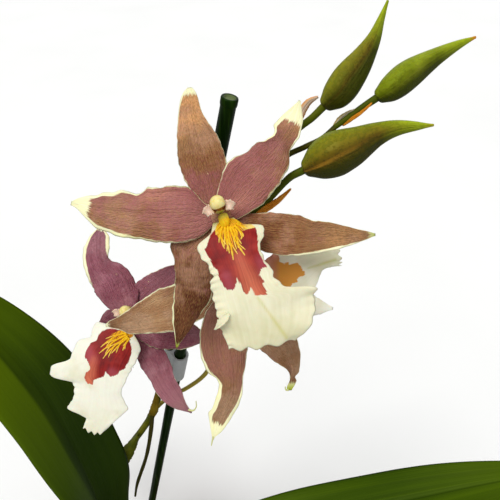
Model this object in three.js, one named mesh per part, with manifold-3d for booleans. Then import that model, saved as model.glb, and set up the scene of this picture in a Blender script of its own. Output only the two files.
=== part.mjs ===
// Potted aliceara orchid: one leaning flower spike with three open blooms and three buds,
// tied to a cane, over strap leaves and pseudobulbs in a pot of bark.
// Millimetres, +Z up, origin in the middle of the pot's underside, the blooms look towards -Y.
import * as THREE from 'three';
import { mergeVertices } from 'three/addons/utils/BufferGeometryUtils.js';
import Module from 'manifold-3d';

const wasm = await Module();
wasm.setup();

// Driving dimensions
const seatGap = 0.35;
const tepalThickness = 0.8;
const lipThickness = 0.9;
const leafThickness = 1.1;
const tipHalfWidth = 0.35;

const potHeight = 110;
const potRimRadius = 65;
const potFootRadius = 48;
const potWall = 3.6;
const potFloor = 6;
const rimBand = 20;
const drainRadius = 4.5;
const drainCircle = 28;
const potSides = 32;

const barkEdgeHeight = 100;
const barkMound = 5;
const chipCount = 20;

const caneRadius = 2.6;
const caneFoot = [-36.9, 22.3, 40];
const caneTop = [70.8, 10.3, 544.8];

const bloomTilt = 50;

// Small helpers
const degrees = THREE.MathUtils.degToRad;
const vector = ([x, y, z]) => new THREE.Vector3(x, y, z);

function material(colour, roughness, metalness = 0) {
  return new THREE.MeshStandardMaterial({ color: colour, roughness, metalness });
}

const finishes = {
  pot: material(0xb5684a, 0.8),
  bark: material(0x5a3a24, 0.95),
  bulb: material(0x6f7f2c, 0.55),
  leaf: material(0x33560f, 0.45),
  stem: material(0x6b7016, 0.5),
  cane: material(0x12280a, 0.3),
  clip: material(0x9b9f9c, 0.25),
  bud: material(0x6c8420, 0.5),
  mauve: material(0x94625e, 0.6),
  lip: material(0xefe9d2, 0.6),
  column: material(0xe2cf86, 0.5),
};

// The value at s, from 0 to 1, of a number or of a smooth line through values at even steps
function along(values, s) {
  if (typeof values === 'number') return values;
  const place = s * (values.length - 1);
  const i = Math.min(Math.floor(place), values.length - 2);
  const t = place - i;
  const [a, b] = [values[i], values[i + 1]];
  const before = values[Math.max(i - 1, 0)];
  const after = values[Math.min(i + 2, values.length - 1)];
  const square = 2 * before - 5 * a + 4 * b - after;
  const cube = 3 * a - before - 3 * b + after;
  return 0.5 * (2 * a + (b - before) * t + square * t * t + cube * t * t * t);
}

function bodyFrom(points, triangles) {
  const geometry = new THREE.BufferGeometry();
  geometry.setAttribute('position', new THREE.Float32BufferAttribute(points.flatMap((p) => p.toArray()), 3));
  geometry.setIndex(triangles.flat());
  return geometry;
}

// Solids for cutting and joining
function toSolid(geometry) {
  const bare = geometry.clone();
  bare.deleteAttribute('normal');
  bare.deleteAttribute('uv');
  const merged = mergeVertices(bare, 1e-3);
  return new wasm.Manifold(new wasm.Mesh({
    numProp: 3,
    vertProperties: new Float32Array(merged.attributes.position.array),
    triVerts: new Uint32Array(merged.index.array),
  }));
}

function toGeometry(solid) {
  const mesh = solid.getMesh();
  const geometry = new THREE.BufferGeometry();
  geometry.setAttribute('position', new THREE.BufferAttribute(mesh.vertProperties, 3));
  geometry.setIndex(new THREE.BufferAttribute(mesh.triVerts, 1));
  return geometry;
}

// The main body of a joined or cut solid, without loose scraps or sealed pockets
function mainBody(solid) {
  return solid.decompose().reduce((most, piece) => (piece.volume() > most.volume() ? piece : most));
}

function join(...geometries) {
  return toGeometry(mainBody(geometries.map(toSolid).reduce((whole, piece) => whole.add(piece))));
}

function cut(geometry, ...tools) {
  const rest = tools.map(toSolid).reduce((whole, tool) => whole.subtract(tool), toSolid(geometry));
  return toGeometry(mainBody(rest));
}

// The place on a blade's middle sheet at s along it and v across it, -1 at its left edge and 1 at its
// right edge, as seen from the front with the tip up. Fold is the rise of each half and twist the turn
// about the midrib, in degrees. Cup and wave lift the edges in millimetres, out of step with each other,
// and round pulls the corners of a wide tip back.
const edgeStep = 0.35;
function bladePoint(blade, s, v) {
  const { curve, face, across, fold = 0, twist = 0, cup = 0, wave = 0, waves = 3, round = 0 } = blade;
  const place = curve.getPointAt(s);
  const tangent = curve.getTangentAt(s);
  const side = across
    ? across.clone().addScaledVector(tangent, -tangent.dot(across)).normalize()
    : tangent.clone().cross(face).normalize();
  side.applyAxisAngle(tangent, -degrees(along(twist, s)));
  const out = side.clone().cross(tangent);
  const half = along(v < 0 ? blade.left : blade.right, s);
  const slope = degrees(along(fold, s));
  const edge = Math.abs(v);
  const ripple = Math.sin(2 * Math.PI * (waves * s + (v < 0 ? edgeStep : 0)));
  const lift = (along(cup, s) + along(wave, s) * ripple) * v * v;
  return place
    .addScaledVector(side, v * half * Math.cos(slope))
    .addScaledVector(out, edge * half * Math.sin(slope) + lift)
    .addScaledVector(tangent, -round * v * v * s ** 8);
}

function prepared(blade) {
  return {
    ...blade,
    curve: new THREE.CatmullRomCurve3(blade.spine.map(vector)),
    face: vector(blade.face ?? [0, 0, 1]),
    across: blade.across ? vector(blade.across) : null,
    right: blade.right ?? blade.left,
  };
}

// A thin closed blade, both faces split alike
function bladeSolid(shape) {
  const blade = prepared(shape);
  const { rows = 7, columns = 4, thickness = tepalThickness } = blade;
  const middle = [];
  for (let i = 0; i <= rows; i++) {
    for (let j = 0; j <= columns; j++) {
      middle.push(bladePoint(blade, i / rows, 2 * j / columns - 1));
    }
  }
  const at = (i, j) => i * (columns + 1) + j;
  const front = [];
  const back = [];
  for (let i = 0; i <= rows; i++) {
    for (let j = 0; j <= columns; j++) {
      const lengthwise = middle[at(Math.min(i + 1, rows), j)].clone().sub(middle[at(Math.max(i - 1, 0), j)]);
      const sideways = middle[at(i, Math.min(j + 1, columns))].clone().sub(middle[at(i, Math.max(j - 1, 0))]);
      const normal = sideways.cross(lengthwise).normalize();
      front.push(middle[at(i, j)].clone().addScaledVector(normal, thickness / 2));
      back.push(middle[at(i, j)].clone().addScaledVector(normal, -thickness / 2));
    }
  }
  const under = front.length;
  const triangles = [];
  for (let i = 0; i < rows; i++) {
    for (let j = 0; j < columns; j++) {
      const [a, b, c, d] = [at(i, j), at(i, j + 1), at(i + 1, j + 1), at(i + 1, j)];
      triangles.push([a, b, c], [a, c, d]);
      triangles.push([a + under, c + under, b + under], [a + under, d + under, c + under]);
    }
  }
  const rim = [];
  for (let j = 0; j < columns; j++) rim.push(at(0, j));
  for (let i = 0; i < rows; i++) rim.push(at(i, columns));
  for (let j = columns; j > 0; j--) rim.push(at(rows, j));
  for (let i = rows; i > 0; i--) rim.push(at(i, 0));
  rim.forEach((p, k) => {
    const q = rim[(k + 1) % rim.length];
    triangles.push([p, p + under, q + under], [p, q + under, q]);
  });
  return bodyFrom([...front, ...back], triangles);
}

// A closed round body along a path: stems, buds, bulbs and the column. Flat squeezes it across the
// reference direction, and ribs raise lengthwise ridges.
function stalk({ path, radius, sides = 8, steps = 8, flat = 1, ribs = 0, ribHeight = 0,
  reference = [0, 1, 0] }) {
  const curve = new THREE.CatmullRomCurve3(path.map(vector));
  const guide = vector(reference);
  const points = [];
  for (let i = 0; i <= steps; i++) {
    const s = i / steps;
    const tangent = curve.getTangentAt(s);
    const first = guide.clone().addScaledVector(tangent, -tangent.dot(guide)).normalize();
    const second = tangent.clone().cross(first);
    for (let j = 0; j < sides; j++) {
      const angle = 2 * Math.PI * j / sides;
      const reach = along(radius, s) * (1 + ribHeight * Math.cos(ribs * angle));
      points.push(curve.getPointAt(s)
        .addScaledVector(first, reach * Math.cos(angle))
        .addScaledVector(second, reach * flat * Math.sin(angle)));
    }
  }
  const start = points.push(curve.getPointAt(0)) - 1;
  const end = points.push(curve.getPointAt(1)) - 1;
  const triangles = [];
  for (let j = 0; j < sides; j++) {
    const next = (j + 1) % sides;
    for (let i = 0; i < steps; i++) {
      const [a, b] = [i * sides + j, i * sides + next];
      triangles.push([a, b, b + sides], [a, b + sides, a + sides]);
    }
    triangles.push([start, next, j], [end, steps * sides + j, steps * sides + next]);
  }
  return bodyFrom(points, triangles);
}

function node(name, geometry, finish) {
  const mesh = new THREE.Mesh(geometry, finish);
  mesh.name = name;
  return mesh;
}

// Pot: a tapered wall with a rim band and four drain holes
const potEdge = 1.5;
const bandStep = 3.5;
const mouthRadius = potRimRadius - potWall - 0.4;

function innerRadius(height) {
  const run = potHeight - potEdge - potFloor;
  return THREE.MathUtils.lerp(potFootRadius - potWall, mouthRadius, (height - potFloor) / run);
}

function pot() {
  const bandFoot = potHeight - rimBand;
  const wallTop = THREE.MathUtils.lerp(potFootRadius, potRimRadius - bandStep, bandFoot / potHeight);
  const outline = [
    [0, 0], [potFootRadius - potEdge, 0], [potFootRadius, potEdge],
    [wallTop, bandFoot - 1], [potRimRadius - 0.8, bandFoot], [potRimRadius, bandFoot + potEdge],
    [potRimRadius, potHeight - potEdge], [potRimRadius - potEdge, potHeight],
    [mouthRadius + 1.4, potHeight], [mouthRadius, potHeight - potEdge],
    [innerRadius(potFloor), potFloor], [0, potFloor],
  ];
  const shell = new THREE.LatheGeometry(outline.map(([r, z]) => new THREE.Vector2(r, z)), potSides);
  shell.rotateX(Math.PI / 2);
  const holes = [45, 135, 225, 315].map((azimuth) => {
    const turn = degrees(azimuth);
    const hole = new THREE.CylinderGeometry(drainRadius, drainRadius, 3 * potFloor, 8);
    hole.rotateX(Math.PI / 2);
    hole.translate(drainCircle * Math.cos(turn), drainCircle * Math.sin(turn), 0);
    return hole;
  });
  return node('pot', cut(shell, ...holes), finishes.pot);
}

// Pseudobulbs stand in the bark on one creeping rhizome
const bulbs = {
  front: { place: [-22, -8], top: 168, size: 16, lean: [0, 0] },
  right: { place: [8, -10], top: 165, size: 16, lean: [0, 0] },
  back: { place: [18, 20], top: 160, size: 14, lean: [1, 2] },
  left: { place: [-43, 1], top: 158, size: 14.5, lean: [-1, 0] },
};
const bulbFoot = 84;
const bulbFlatness = 0.58;
const holeHeight = 80;

function bulbShape({ place: [x, y], top, size, lean: [leanX, leanY] }) {
  return stalk({
    path: [
      [x, y, bulbFoot],
      [x + leanX * 0.4, y + leanY * 0.4, (bulbFoot + top) / 2],
      [x + leanX, y + leanY, top],
    ],
    radius: [0.35, 0.78, 1, 1, 0.86, 0.6, 0.26].map((part) => part * size),
    sides: 12,
    steps: 8,
    flat: bulbFlatness,
    ribs: 6,
    ribHeight: 0.03,
  });
}

// The hole round a bulb clears its widest part
function bulbHole({ place: [x, y], size }) {
  const radius = 1.09 * size;
  const hole = new THREE.CylinderGeometry(radius, radius, holeHeight, 12);
  hole.rotateX(Math.PI / 2);
  hole.scale(bulbFlatness + 0.04, 1, 1);
  hole.translate(x, y, bulbFoot - seatGap + holeHeight / 2);
  return hole;
}

const rhizomeHeight = 103;
const rhizomeRadius = 4.5;
function rhizomeShape(clearance = 0) {
  const through = ['left', 'front', 'right', 'back'].map((key) => [...bulbs[key].place, rhizomeHeight]);
  const radius = rhizomeRadius + clearance;
  return stalk({ path: through, radius, sides: 6, steps: 6, reference: [0, 0, 1] });
}

// Aerial roots arch over the bark and hang past the rim
const roots = [
  { foot: [-43, 1], azimuth: 205, reach: 30, drop: -26 },
  { foot: [-22, -8], azimuth: 225, reach: 49, drop: -18 },
  { foot: [8, -10], azimuth: 282, reach: 59, drop: -34 },
  { foot: [18, 20], azimuth: 12, reach: 48, drop: -22 },
];

function rootShape({ foot: [x, y], azimuth, reach, drop }) {
  const outward = (part, height) => [
    x + part * reach * Math.cos(degrees(azimuth)),
    y + part * reach * Math.sin(degrees(azimuth)),
    height,
  ];
  const crest = potHeight + 6;
  return stalk({
    path: [
      outward(0.02, 113.5), outward(0.35, crest), outward(0.75, crest + 1),
      outward(1.02, crest - 5), outward(1.12, crest + drop),
    ],
    radius: [2, 2.1, 1.9, 1.8, 1.7, 1],
    sides: 6,
    steps: 6,
    reference: [0, 0, 1],
  });
}

function pseudobulbs() {
  const bodies = Object.values(bulbs).map((bulb) => bulbShape(bulb));
  return node('pseudobulbs', join(...bodies, rhizomeShape(), ...roots.map(rootShape)), finishes.bulb);
}

// Leaves: each rises from its base and arches outwards. Its profile lists how far out and how far up
// the midrib is.
const leafOutline = [0.24, 0.42, 0.66, 0.86, 0.98, 1, 0.93, 0.74, 0.44, 0.015];
const leafFold = [72, 58, 36, 22, 15, 12, 10, 10, 12, 14];

const leaves = [
  {
    base: [-22, -8, 168.5], azimuth: 90, halfWidth: 23.5, turn: 75,
    outline: [0.22, 0.46, 0.76, 0.94, 1, 0.95, 0.9, 0.82, 0.55, 0.015],
    fold: [72, 60, 46, 36, 28, 20, 15, 12, 12, 14],
    twist: [0, -6, -8, 0, 16, 30, 38, 40],
    profile: [[0, 0], [-3, 55], [-3, 105], [-2, 140], [1, 191], [2, 243], [1, 288], [0, 330]],
    drift: [0, 1, 4, 7.5, 6, 3, -6, -22],
  },
  {
    base: [8, -10, 165.6], azimuth: 3, halfWidth: 21,
    profile: [[0, 0], [18, 38], [54, 67], [101, 89], [163, 113], [225, 137], [275, 152]],
  },
  {
    base: [-28, -30, 96], azimuth: 252, halfWidth: 20,
    profile: [[0, 0], [10, 55], [34, 115], [76, 158], [128, 172], [172, 158]],
  },
  {
    base: [24, -24, 96], azimuth: 309, halfWidth: 19,
    profile: [[0, 0], [9, 50], [32, 108], [74, 150], [124, 166], [170, 156]],
  },
  {
    base: [-44, 1, 158.4], azimuth: 184, halfWidth: 19,
    profile: [[0, 0], [12, 36], [40, 68], [84, 84], [132, 74], [170, 48]],
  },
  {
    base: [19, 22, 161], azimuth: 346, halfWidth: 17,
    profile: [[0, 0], [7, 11], [32, 3], [74, -30], [104, -70], [112, -100]],
  },
  {
    base: [-42, 27, 96], azimuth: 126, halfWidth: 16,
    profile: [[0, 0], [8, 38], [30, 66], [68, 72], [106, 50], [134, 18]],
  },
  {
    base: [-4, -36, 96], azimuth: 276, halfWidth: 12,
    profile: [[0, 0], [2, 40], [7, 80], [18, 122], [36, 156]],
  },
];

function leafBlade({ base, azimuth, halfWidth, profile, outline = leafOutline, fold = leafFold, twist = 0,
  turn = 0, drift = [] }) {
  const heading = degrees(azimuth);
  const [outX, outY] = [Math.cos(heading), Math.sin(heading)];
  const facing = degrees(azimuth + turn);
  return {
    spine: profile.map(([out, up], k) => [
      base[0] + out * outX + (drift[k] ?? 0),
      base[1] + out * outY,
      base[2] + up,
    ]),
    across: [Math.sin(facing), -Math.cos(facing), 0],
    left: outline.map((part) => part * halfWidth),
    fold,
    twist,
    wave: [0, 0.3, 0.9, 1.2, 1.2, 1, 0.6, 0.2],
    waves: 2.5,
    thickness: leafThickness,
    rows: 12,
    columns: 4,
  };
}

// Bark with plain holes for what stands in it
function caneAxis() {
  return vector(caneTop).sub(vector(caneFoot)).normalize();
}

function caneShape(clearance = 0) {
  const length = vector(caneTop).distanceTo(vector(caneFoot));
  const rimLip = 0.25;
  const wall = 0.8;
  const outline = clearance
    ? [[0, -clearance], [caneRadius + clearance, -clearance], [caneRadius + clearance, length], [0, length]]
    : [
      [0, 0], [caneRadius, 0], [caneRadius, length - 3], [caneRadius + rimLip, length - 2.2],
      [caneRadius + rimLip, length - 0.4], [caneRadius, length], [caneRadius - wall, length],
      [caneRadius - wall, length - 0.6], [0, length - 0.6],
    ];
  const cane = new THREE.LatheGeometry(outline.map(([r, y]) => new THREE.Vector2(r, y)), 12);
  cane.applyQuaternion(new THREE.Quaternion().setFromUnitVectors(new THREE.Vector3(0, 1, 0), caneAxis()));
  cane.translate(...caneFoot);
  return cane;
}

const spikeFoot = [-28, 12, 92];
const spikeFootRadius = 3.4;

function plainHole([x, y, z], radius) {
  const hole = new THREE.CylinderGeometry(radius, radius, holeHeight, 8);
  hole.rotateX(Math.PI / 2);
  hole.translate(x, y, z - seatGap + holeHeight / 2);
  return hole;
}

// Repeatable draw between 0 and 1
function seededDraw(seed) {
  let state = seed;
  return () => {
    state = (state * 1103515245 + 12345) % 2147483648;
    return state / 2147483648;
  };
}

function barkHeight(radius) {
  return barkEdgeHeight + barkMound * (1 - (radius / innerRadius(barkEdgeHeight)) ** 2);
}

function barkChip(draw) {
  const radius = 52 * Math.sqrt(draw());
  const angle = 2 * Math.PI * draw();
  const chip = new THREE.BoxGeometry(9 + 7 * draw(), 6 + 4 * draw(), 5 + 3 * draw());
  chip.rotateX(degrees(50 * draw() - 25));
  chip.rotateY(degrees(50 * draw() - 25));
  chip.rotateZ(degrees(180 * draw()));
  chip.translate(radius * Math.cos(angle), radius * Math.sin(angle), barkHeight(radius) + 0.5);
  return chip;
}

function bark() {
  const edge = (height) => innerRadius(height) - seatGap;
  const foot = potFloor + seatGap;
  const outline = [[0, foot], [edge(foot), foot], [edge(barkEdgeHeight), barkEdgeHeight],
    [34, barkHeight(34)], [0, barkHeight(0)]];
  const fill = new THREE.LatheGeometry(outline.map(([r, z]) => new THREE.Vector2(r, z)), potSides);
  fill.rotateX(Math.PI / 2);
  const draw = seededDraw(20);
  const chips = Array.from({ length: chipCount }, () => barkChip(draw));
  const holes = [
    ...Object.values(bulbs).map(bulbHole),
    rhizomeShape(0.6),
    caneShape(0.5),
    plainHole(spikeFoot, spikeFootRadius + 0.8),
    ...leaves.filter(({ base }) => base[2] < barkEdgeHeight)
      .map(({ base, halfWidth }) => plainHole(base, halfWidth * leafOutline[0] + 1.8)),
  ];
  return node('bark', cut(join(fill, ...chips), ...holes), finishes.bark);
}

// Blooms: each has its own frame, +Y along its top and +Z out of its face. Spines are lists of points,
// and half-widths, cups and waves are given at even steps from foot to tip.
const blooms = [
  {
    name: 'bloom_front', centre: [67.8, -10.6, 514.5],
    tepals: {
      dorsal: {
        spine: [[-0.6, 0, -1.4], [-2.5, 8.2, -0.9], [-6, 20.3, 0.4], [-8.9, 31, 1.4], [-9.8, 39.6, 1.6]],
        left: [2.6, 5.6, 7.6, 6.8, 4.2, tipHalfWidth],
        cup: [0, 0.5, 0.8, 0.4, 0], wave: [0, 0.3, 0.5, 0.7, 0.2],
      },
      leftPetal: {
        spine: [
          [-0.5, 0.6, 0], [-11.4, 0.3, 0.8], [-22.5, 0.3, 1.1],
          [-33.6, 1.3, 0.6], [-41.5, 2.8, 0], [-47.8, 4.4, -1],
        ],
        left: [3.6, 8.8, 8.7, 7.4, 5.4, tipHalfWidth],
        cup: [0, -0.8, -1, -0.6, 0], wave: [0, 0.7, 1.1, 1.2, 0.8, 0],
      },
      rightPetal: {
        spine: [
          [0.4, 0.8, 0], [7.9, 11.1, 0.8], [12.7, 16.6, 1],
          [17.7, 22, 0.6], [22.4, 29.4, 0], [25, 37, -1],
        ],
        left: [3.4, 8.4, 7.6, 6, 4.8, tipHalfWidth],
        cup: [0, -0.7, -0.9, -0.5, 0], wave: [0, 0.6, 1, 1.2, 1, 0],
      },
      rightSepal: {
        spine: [
          [0.4, -0.6, -1.6], [11.1, -4.7, -2], [20.3, -6, -1.8],
          [28.8, -6.5, -1.2], [37.7, -6.3, -1], [48.4, -6, -2],
        ],
        left: [2.8, 5.4, 6.8, 5.5, 3.1, tipHalfWidth],
        cup: [0, 0.5, 0.6, 0.3, 0], wave: [0, 0.4, 0.8, 0.8, 0.4, 0],
      },
      leftSepal: {
        spine: [
          [-0.4, -0.6, -1.6], [-7.9, -12.7, -2.4], [-8.5, -22.8, -4],
          [-11.1, -33.6, -6], [-14.9, -42.4, -8],
        ],
        left: [2.8, 3.8, 4.6, 4, tipHalfWidth], right: [2.8, 6.2, 4.8, 4.2, tipHalfWidth],
        cup: [0, -0.6, -0.6, 0], wave: [0, 0.6, 0.8, 0.6, 0],
      },
    },
    lip: {
      spine: [
        [1.2, -1.4, 2.7], [3.2, -8, 5.4], [6.2, -16.6, 7.6],
        [9, -26.5, 7.6], [11.4, -34.5, 6], [13.2, -41, 4.2],
      ],
      left: [2, 11, 9, 8, 8.2, 8.6, 11.5, 20, 19.4, 18, 14],
      right: [2, 10.4, 11, 9, 9.4, 10.2, 11, 11, 11.2, 10.8, 6.5],
      round: 3,
    },
  },
  {
    name: 'bloom_left', centre: [26.9, -0.5, 456.6],
    tepals: {
      dorsal: {
        spine: [[0.4, 0.6, -1.4], [7.8, 8.6, -0.9], [15.5, 15.2, 0], [22.5, 22, 0.4]],
        left: [2.8, 5.6, 6.6, 5.6, 3.6, tipHalfWidth], cup: [0, 0.5, 0.6, 0], wave: [0, 0.4, 0.7, 0.4, 0],
      },
      leftPetal: {
        spine: [
          [-0.4, 0.8, 0], [-3.7, 7.4, 0.8], [-5.7, 14, 1.2],
          [-12, 23.8, 0.6], [-12.7, 30, 0], [-12.3, 34.5, -1],
        ],
        left: [3.4, 7.8, 8.8, 6.5, 3.6, tipHalfWidth],
        cup: [0, -0.8, -1, -0.5, 0], wave: [0, 0.6, 1, 0.9, 0.4, 0],
      },
      rightPetal: {
        spine: [[0.6, -0.4, 0], [9.8, -3.7, 0.8], [20.1, -7, 1], [28, -8.4, 0], [34, -9.2, -1]],
        left: [3.4, 7.6, 8.4, 7, 4.4, tipHalfWidth],
        cup: [0, -0.8, -1, -0.5, 0], wave: [0, 0.6, 1, 0.9, 0.4, 0],
      },
      rightSepal: {
        spine: [
          [0.6, -1, -1.6], [6.6, -11.9, -2], [11.5, -20.5, -1.6],
          [15.2, -28.3, -1.2], [20.5, -35.7, -1], [26, -40.2, -1.4],
        ],
        left: [2.8, 5, 5.8, 5.2, 4, tipHalfWidth],
        cup: [0, 0.4, 0.5, 0.3, 0], wave: [0, 0.4, 0.7, 0.7, 0.3, 0],
      },
      leftSepal: {
        spine: [
          [-0.8, -0.4, -1.6], [-8.2, -2.9, -2], [-13.9, -9, -2.6],
          [-19, -17.2, -3.4], [-24, -26, -4],
        ],
        left: [2.8, 5, 5.8, 5, 3.2, tipHalfWidth],
        cup: [0, 0.4, 0.5, 0.3, 0], wave: [0, 0.4, 0.7, 0.6, 0.3, 0],
      },
    },
    lip: {
      spine: [
        [-1, -2.2, 2.7], [-4.4, -9.5, 5.2], [-8.4, -19, 7.2],
        [-12, -28.5, 7], [-15.4, -37.4, 5.4], [-18.2, -45, 3.6],
      ],
      left: [2, 8.6, 11.6, 11.6, 10.6, 10, 12, 15.6, 14, 10.4, 4.5],
      right: [2, 8.4, 11.6, 13, 14.4, 17, 19.8, 9.5, 7.8, 8, 3.5],
      round: 3,
    },
  },
  {
    name: 'bloom_back', centre: [69.6, -8.4, 478.4],
    tepals: {
      dorsal: {
        spine: [
          [-0.8, 0, -1.2], [-14.8, -3.9, -0.4], [-21.8, -6.1, 0.6],
          [-33.2, -9.6, 1.8], [-45, -12.2, 2.6],
        ],
        left: [2.8, 6.6, 8.6, 7.6, 4.4, tipHalfWidth],
        cup: [0, 0.4, 0.6, 0.3, 0], wave: [0, 0.4, 0.7, 0.8, 0.3, 0],
      },
      leftPetal: {
        spine: [
          [-0.4, -0.8, 0], [-2.2, -12.2, 0.6], [-1.8, -21.4, 1.2], [0.4, -32.8, 0.8],
          [-0.4, -38.7, 0.2], [-3, -44.6, -0.6], [-6.4, -55, -1.6],
        ],
        left: [3.4, 9, 8.4, 4.8, 5, tipHalfWidth],
        cup: [0, -0.8, -1, -0.5, 0], wave: [0, 0.6, 1, 1.1, 0.8, 0],
      },
      rightPetal: {
        spine: [[-0.2, 0.8, 0], [-5.8, 8, 1.8], [-11, 15, 4.2], [-15.6, 22, 6.6], [-19, 27.6, 7.6]],
        left: [3.2, 5.6, 6.2, 5.6, 3.4, tipHalfWidth],
        cup: [0, -0.6, -0.8, -0.4, 0], wave: [0, 0.5, 0.8, 0.7, 0.3, 0],
      },
      rightSepal: {
        spine: [[0.2, 0.8, -1.6], [-0.6, 8, -0.4], [-2.4, 15, 2.4], [-4.6, 21.5, 6.2], [-6.6, 26, 9.4]],
        left: [2.6, 4.2, 4.6, 4.2, 2.6, tipHalfWidth],
        cup: [0, 0.4, 0.5, 0.3, 0], wave: [0, 0.3, 0.5, 0.4, 0.2, 0],
      },
      leftSepal: {
        spine: [
          [0.6, -0.6, -1.6], [9.2, -11, -2], [16.6, -19.6, -1.8],
          [22.1, -26.9, -1.6], [22.5, -36.5, -1.2],
        ],
        left: [2.8, 5.4, 6.5, 6.4, 4, tipHalfWidth],
        cup: [0, 0.4, 0.5, 0.3, 0], wave: [0, 0.4, 0.7, 0.7, 0.3, 0],
      },
    },
    lip: {
      spine: [
        [1.8, 0.4, 2.7], [9, 2.6, 5], [18.4, 5.6, 6.4],
        [27.6, 8.4, 6], [34.6, 10.6, 4.8], [40.6, 12.2, 3.6],
      ],
      left: [2, 7.6, 8.2, 7.8, 8.4, 10, 13, 18, 16.6, 12, 6],
      right: [2, 9, 10.4, 9, 9, 10, 13.5, 18.5, 8.5, 2.8, 2],
      round: 3,
    },
  },
];

const lipCup = [0, -1.4, -1.2, -0.8, -1.2, -2, -2.6, -2.8, -2.4, -1.8, -1];
const lipWave = [0, 0.4, 0.7, 0.6, 0.7, 1.1, 1.5, 1.9, 2, 1.9, 1.4];

const hub = { front: 1.5, back: -5.4, radius: 4.6 };
const ovaryGap = 0.45;

function bloomMatrix({ centre }) {
  const facing = new THREE.Matrix4().makeRotationX(degrees(bloomTilt));
  return new THREE.Matrix4().makeTranslation(...centre).multiply(facing);
}

function inBloom(index, point) {
  return vector(point).applyMatrix4(bloomMatrix(blooms[index])).toArray();
}

function tepalWhorl({ tepals }) {
  const receptacle = stalk({
    path: [[0, 0, hub.back], [0, 0, (hub.front + hub.back) / 2], [0, 0, hub.front]],
    radius: [1.6, 3.4, hub.radius, 2.6],
    sides: 8,
    steps: 3,
  });
  return join(receptacle, ...Object.values(tepals).map((tepal) => bladeSolid(tepal)));
}

function lipBlade(lip) {
  return { ...lip, cup: lipCup, wave: lipWave, waves: 4, thickness: lipThickness, rows: 12, columns: 8 };
}

// Three raised crests run out over the lip from under the column
function lipWithCrest({ lip }) {
  const blade = lipBlade(lip);
  const sheet = prepared(blade);
  const crests = [[0, 0.36], [-0.3, 0.26], [0.3, 0.26]].map(([v, length]) => stalk({
    path: [0.05, 0.5, 1].map((part) => {
      const lift = lipThickness / 2 + 0.2;
      return bladePoint(sheet, part * length, part * v).add(new THREE.Vector3(0, 0, lift)).toArray();
    }),
    radius: [0.9, 1.1, 0.5],
    sides: 5,
    steps: 3,
  }));
  return join(bladeSolid(blade), ...crests);
}

// The column stands over the lip and carries the cap and two small wings
const column = {
  foot: [0.2, 2.4, hub.front + 0.45],
  bend: [0.3, 2.7, 5],
  top: [0.4, 3, 8.4],
};

function columnShape(lip) {
  const [tipX, tipY] = lip.spine.at(-1);
  const path = [column.foot, column.bend, column.top];
  const stem = stalk({ path, radius: [2.1, 1.9, 1.8], sides: 7, steps: 3 });
  const [x, y, z] = column.top;
  const cap = stalk({
    path: [[x, y - 0.5, z - 0.8], [x, y + 0.3, z + 1], [x, y + 0.9, z + 2.6]],
    radius: [1.2, 2.2, 2.3, 0.7],
    sides: 8,
    steps: 4,
  });
  const wing = (side) => bladeSolid({
    spine: [
      [x + side, y - 0.6, z - 1.6],
      [x + side * 2.6, y - 1.4, z - 1],
      [x + side * 4, y - 2.2, z - 1.4],
    ],
    left: [1.2, 1.5, 1.2, tipHalfWidth],
    rows: 3,
    columns: 2,
    thickness: 0.7,
  });
  const whole = join(stem, cap, wing(-1), wing(1));
  whole.rotateZ(Math.atan2(tipX, -tipY));
  return whole;
}

function bloomGroup(bloom) {
  const group = new THREE.Group();
  group.applyMatrix4(bloomMatrix(bloom));
  group.add(node(`${bloom.name}_tepals`, tepalWhorl(bloom), finishes.mauve));
  group.add(node(`${bloom.name}_lip`, lipWithCrest(bloom), finishes.lip));
  group.add(node(`${bloom.name}_column`, columnShape(bloom.lip), finishes.column));
  return group;
}

// Buds sit on the tips of their stalks
const buds = [
  {
    name: 'bud_1', radius: [2.2, 4.6, 5.3, 4.9, 3.9, 2.8, 1.8, 1, 0.4],
    path: [[100.9, 16.6, 538.8], [105.5, 17.7, 543.4], [108.5, 19.6, 547.2], [112.7, 22.5, 552.3],
      [116.1, 25.5, 557.5], [118.2, 28.4, 562.6], [120.1, 31.1, 567.4]],
  },
  {
    name: 'bud_2', radius: [2.1, 4, 4.7, 4.5, 3.7, 2.8, 2, 1.2, 0.4],
    path: [[118, 17.5, 541.4], [122.4, 17.9, 544.6], [127.9, 20, 548.4], [135.6, 22.4, 552.7],
      [143, 24.1, 556.2], [148.1, 24.7, 558.3]],
  },
  {
    name: 'bud_3', radius: [2.4, 6, 7.4, 6.7, 5.1, 3.6, 2.5, 1.5, 0.4],
    path: [[94.5, 5.6, 521.5], [103.3, 6.7, 526.3], [110.3, 7.7, 529.3], [118.1, 9.2, 532.9],
      [124.2, 9.4, 534.9], [135.3, 7.9, 536.6]],
  },
];

function budShape({ path, radius }) {
  return stalk({ path, radius, sides: 12, steps: 9, ribs: 6, ribHeight: 0.035 });
}

// Flower spike: main stem, side stalks that carry the blooms and buds, bracts at its joints
const spikePath = [
  spikeFoot, [-29, 13, 150], [-27, 13, 215], [-18, 11, 262], [-7.2, 10.6, 300], [6.1, 14.1, 327.7],
  [13.5, 14, 341.7], [21.7, 14.1, 358.8], [28.8, 15.8, 380], [33.4, 17.6, 396], [35.4, 17.4, 405],
  [37.4, 17.2, 414], [47, 20, 440],
  [57.5, 17.5, 456], [66, 12.5, 479.4], [77, 6.9, 502.7], [84.7, 10.4, 514.8], [88.7, 12.7, 522.2],
  [95.6, 12.9, 526.3], [101.2, 13.4, 529.2], [105.7, 15.1, 532.8],
];
const spikeRadius = [3.4, 3.4, 3.4, 3.4, 3.4, 3.3, 2.7, 2.1, 1.9, 1.8, 1.7, 1.5, 1.4, 1.1, 0.9];

// The last two points of a stalk, in line with the bloom or bud that it carries
const lead = 4;
function toBloom(index) {
  return [-lead, 0].map((back) => inBloom(index, [0, 0, hub.back - ovaryGap + back]));
}

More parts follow.
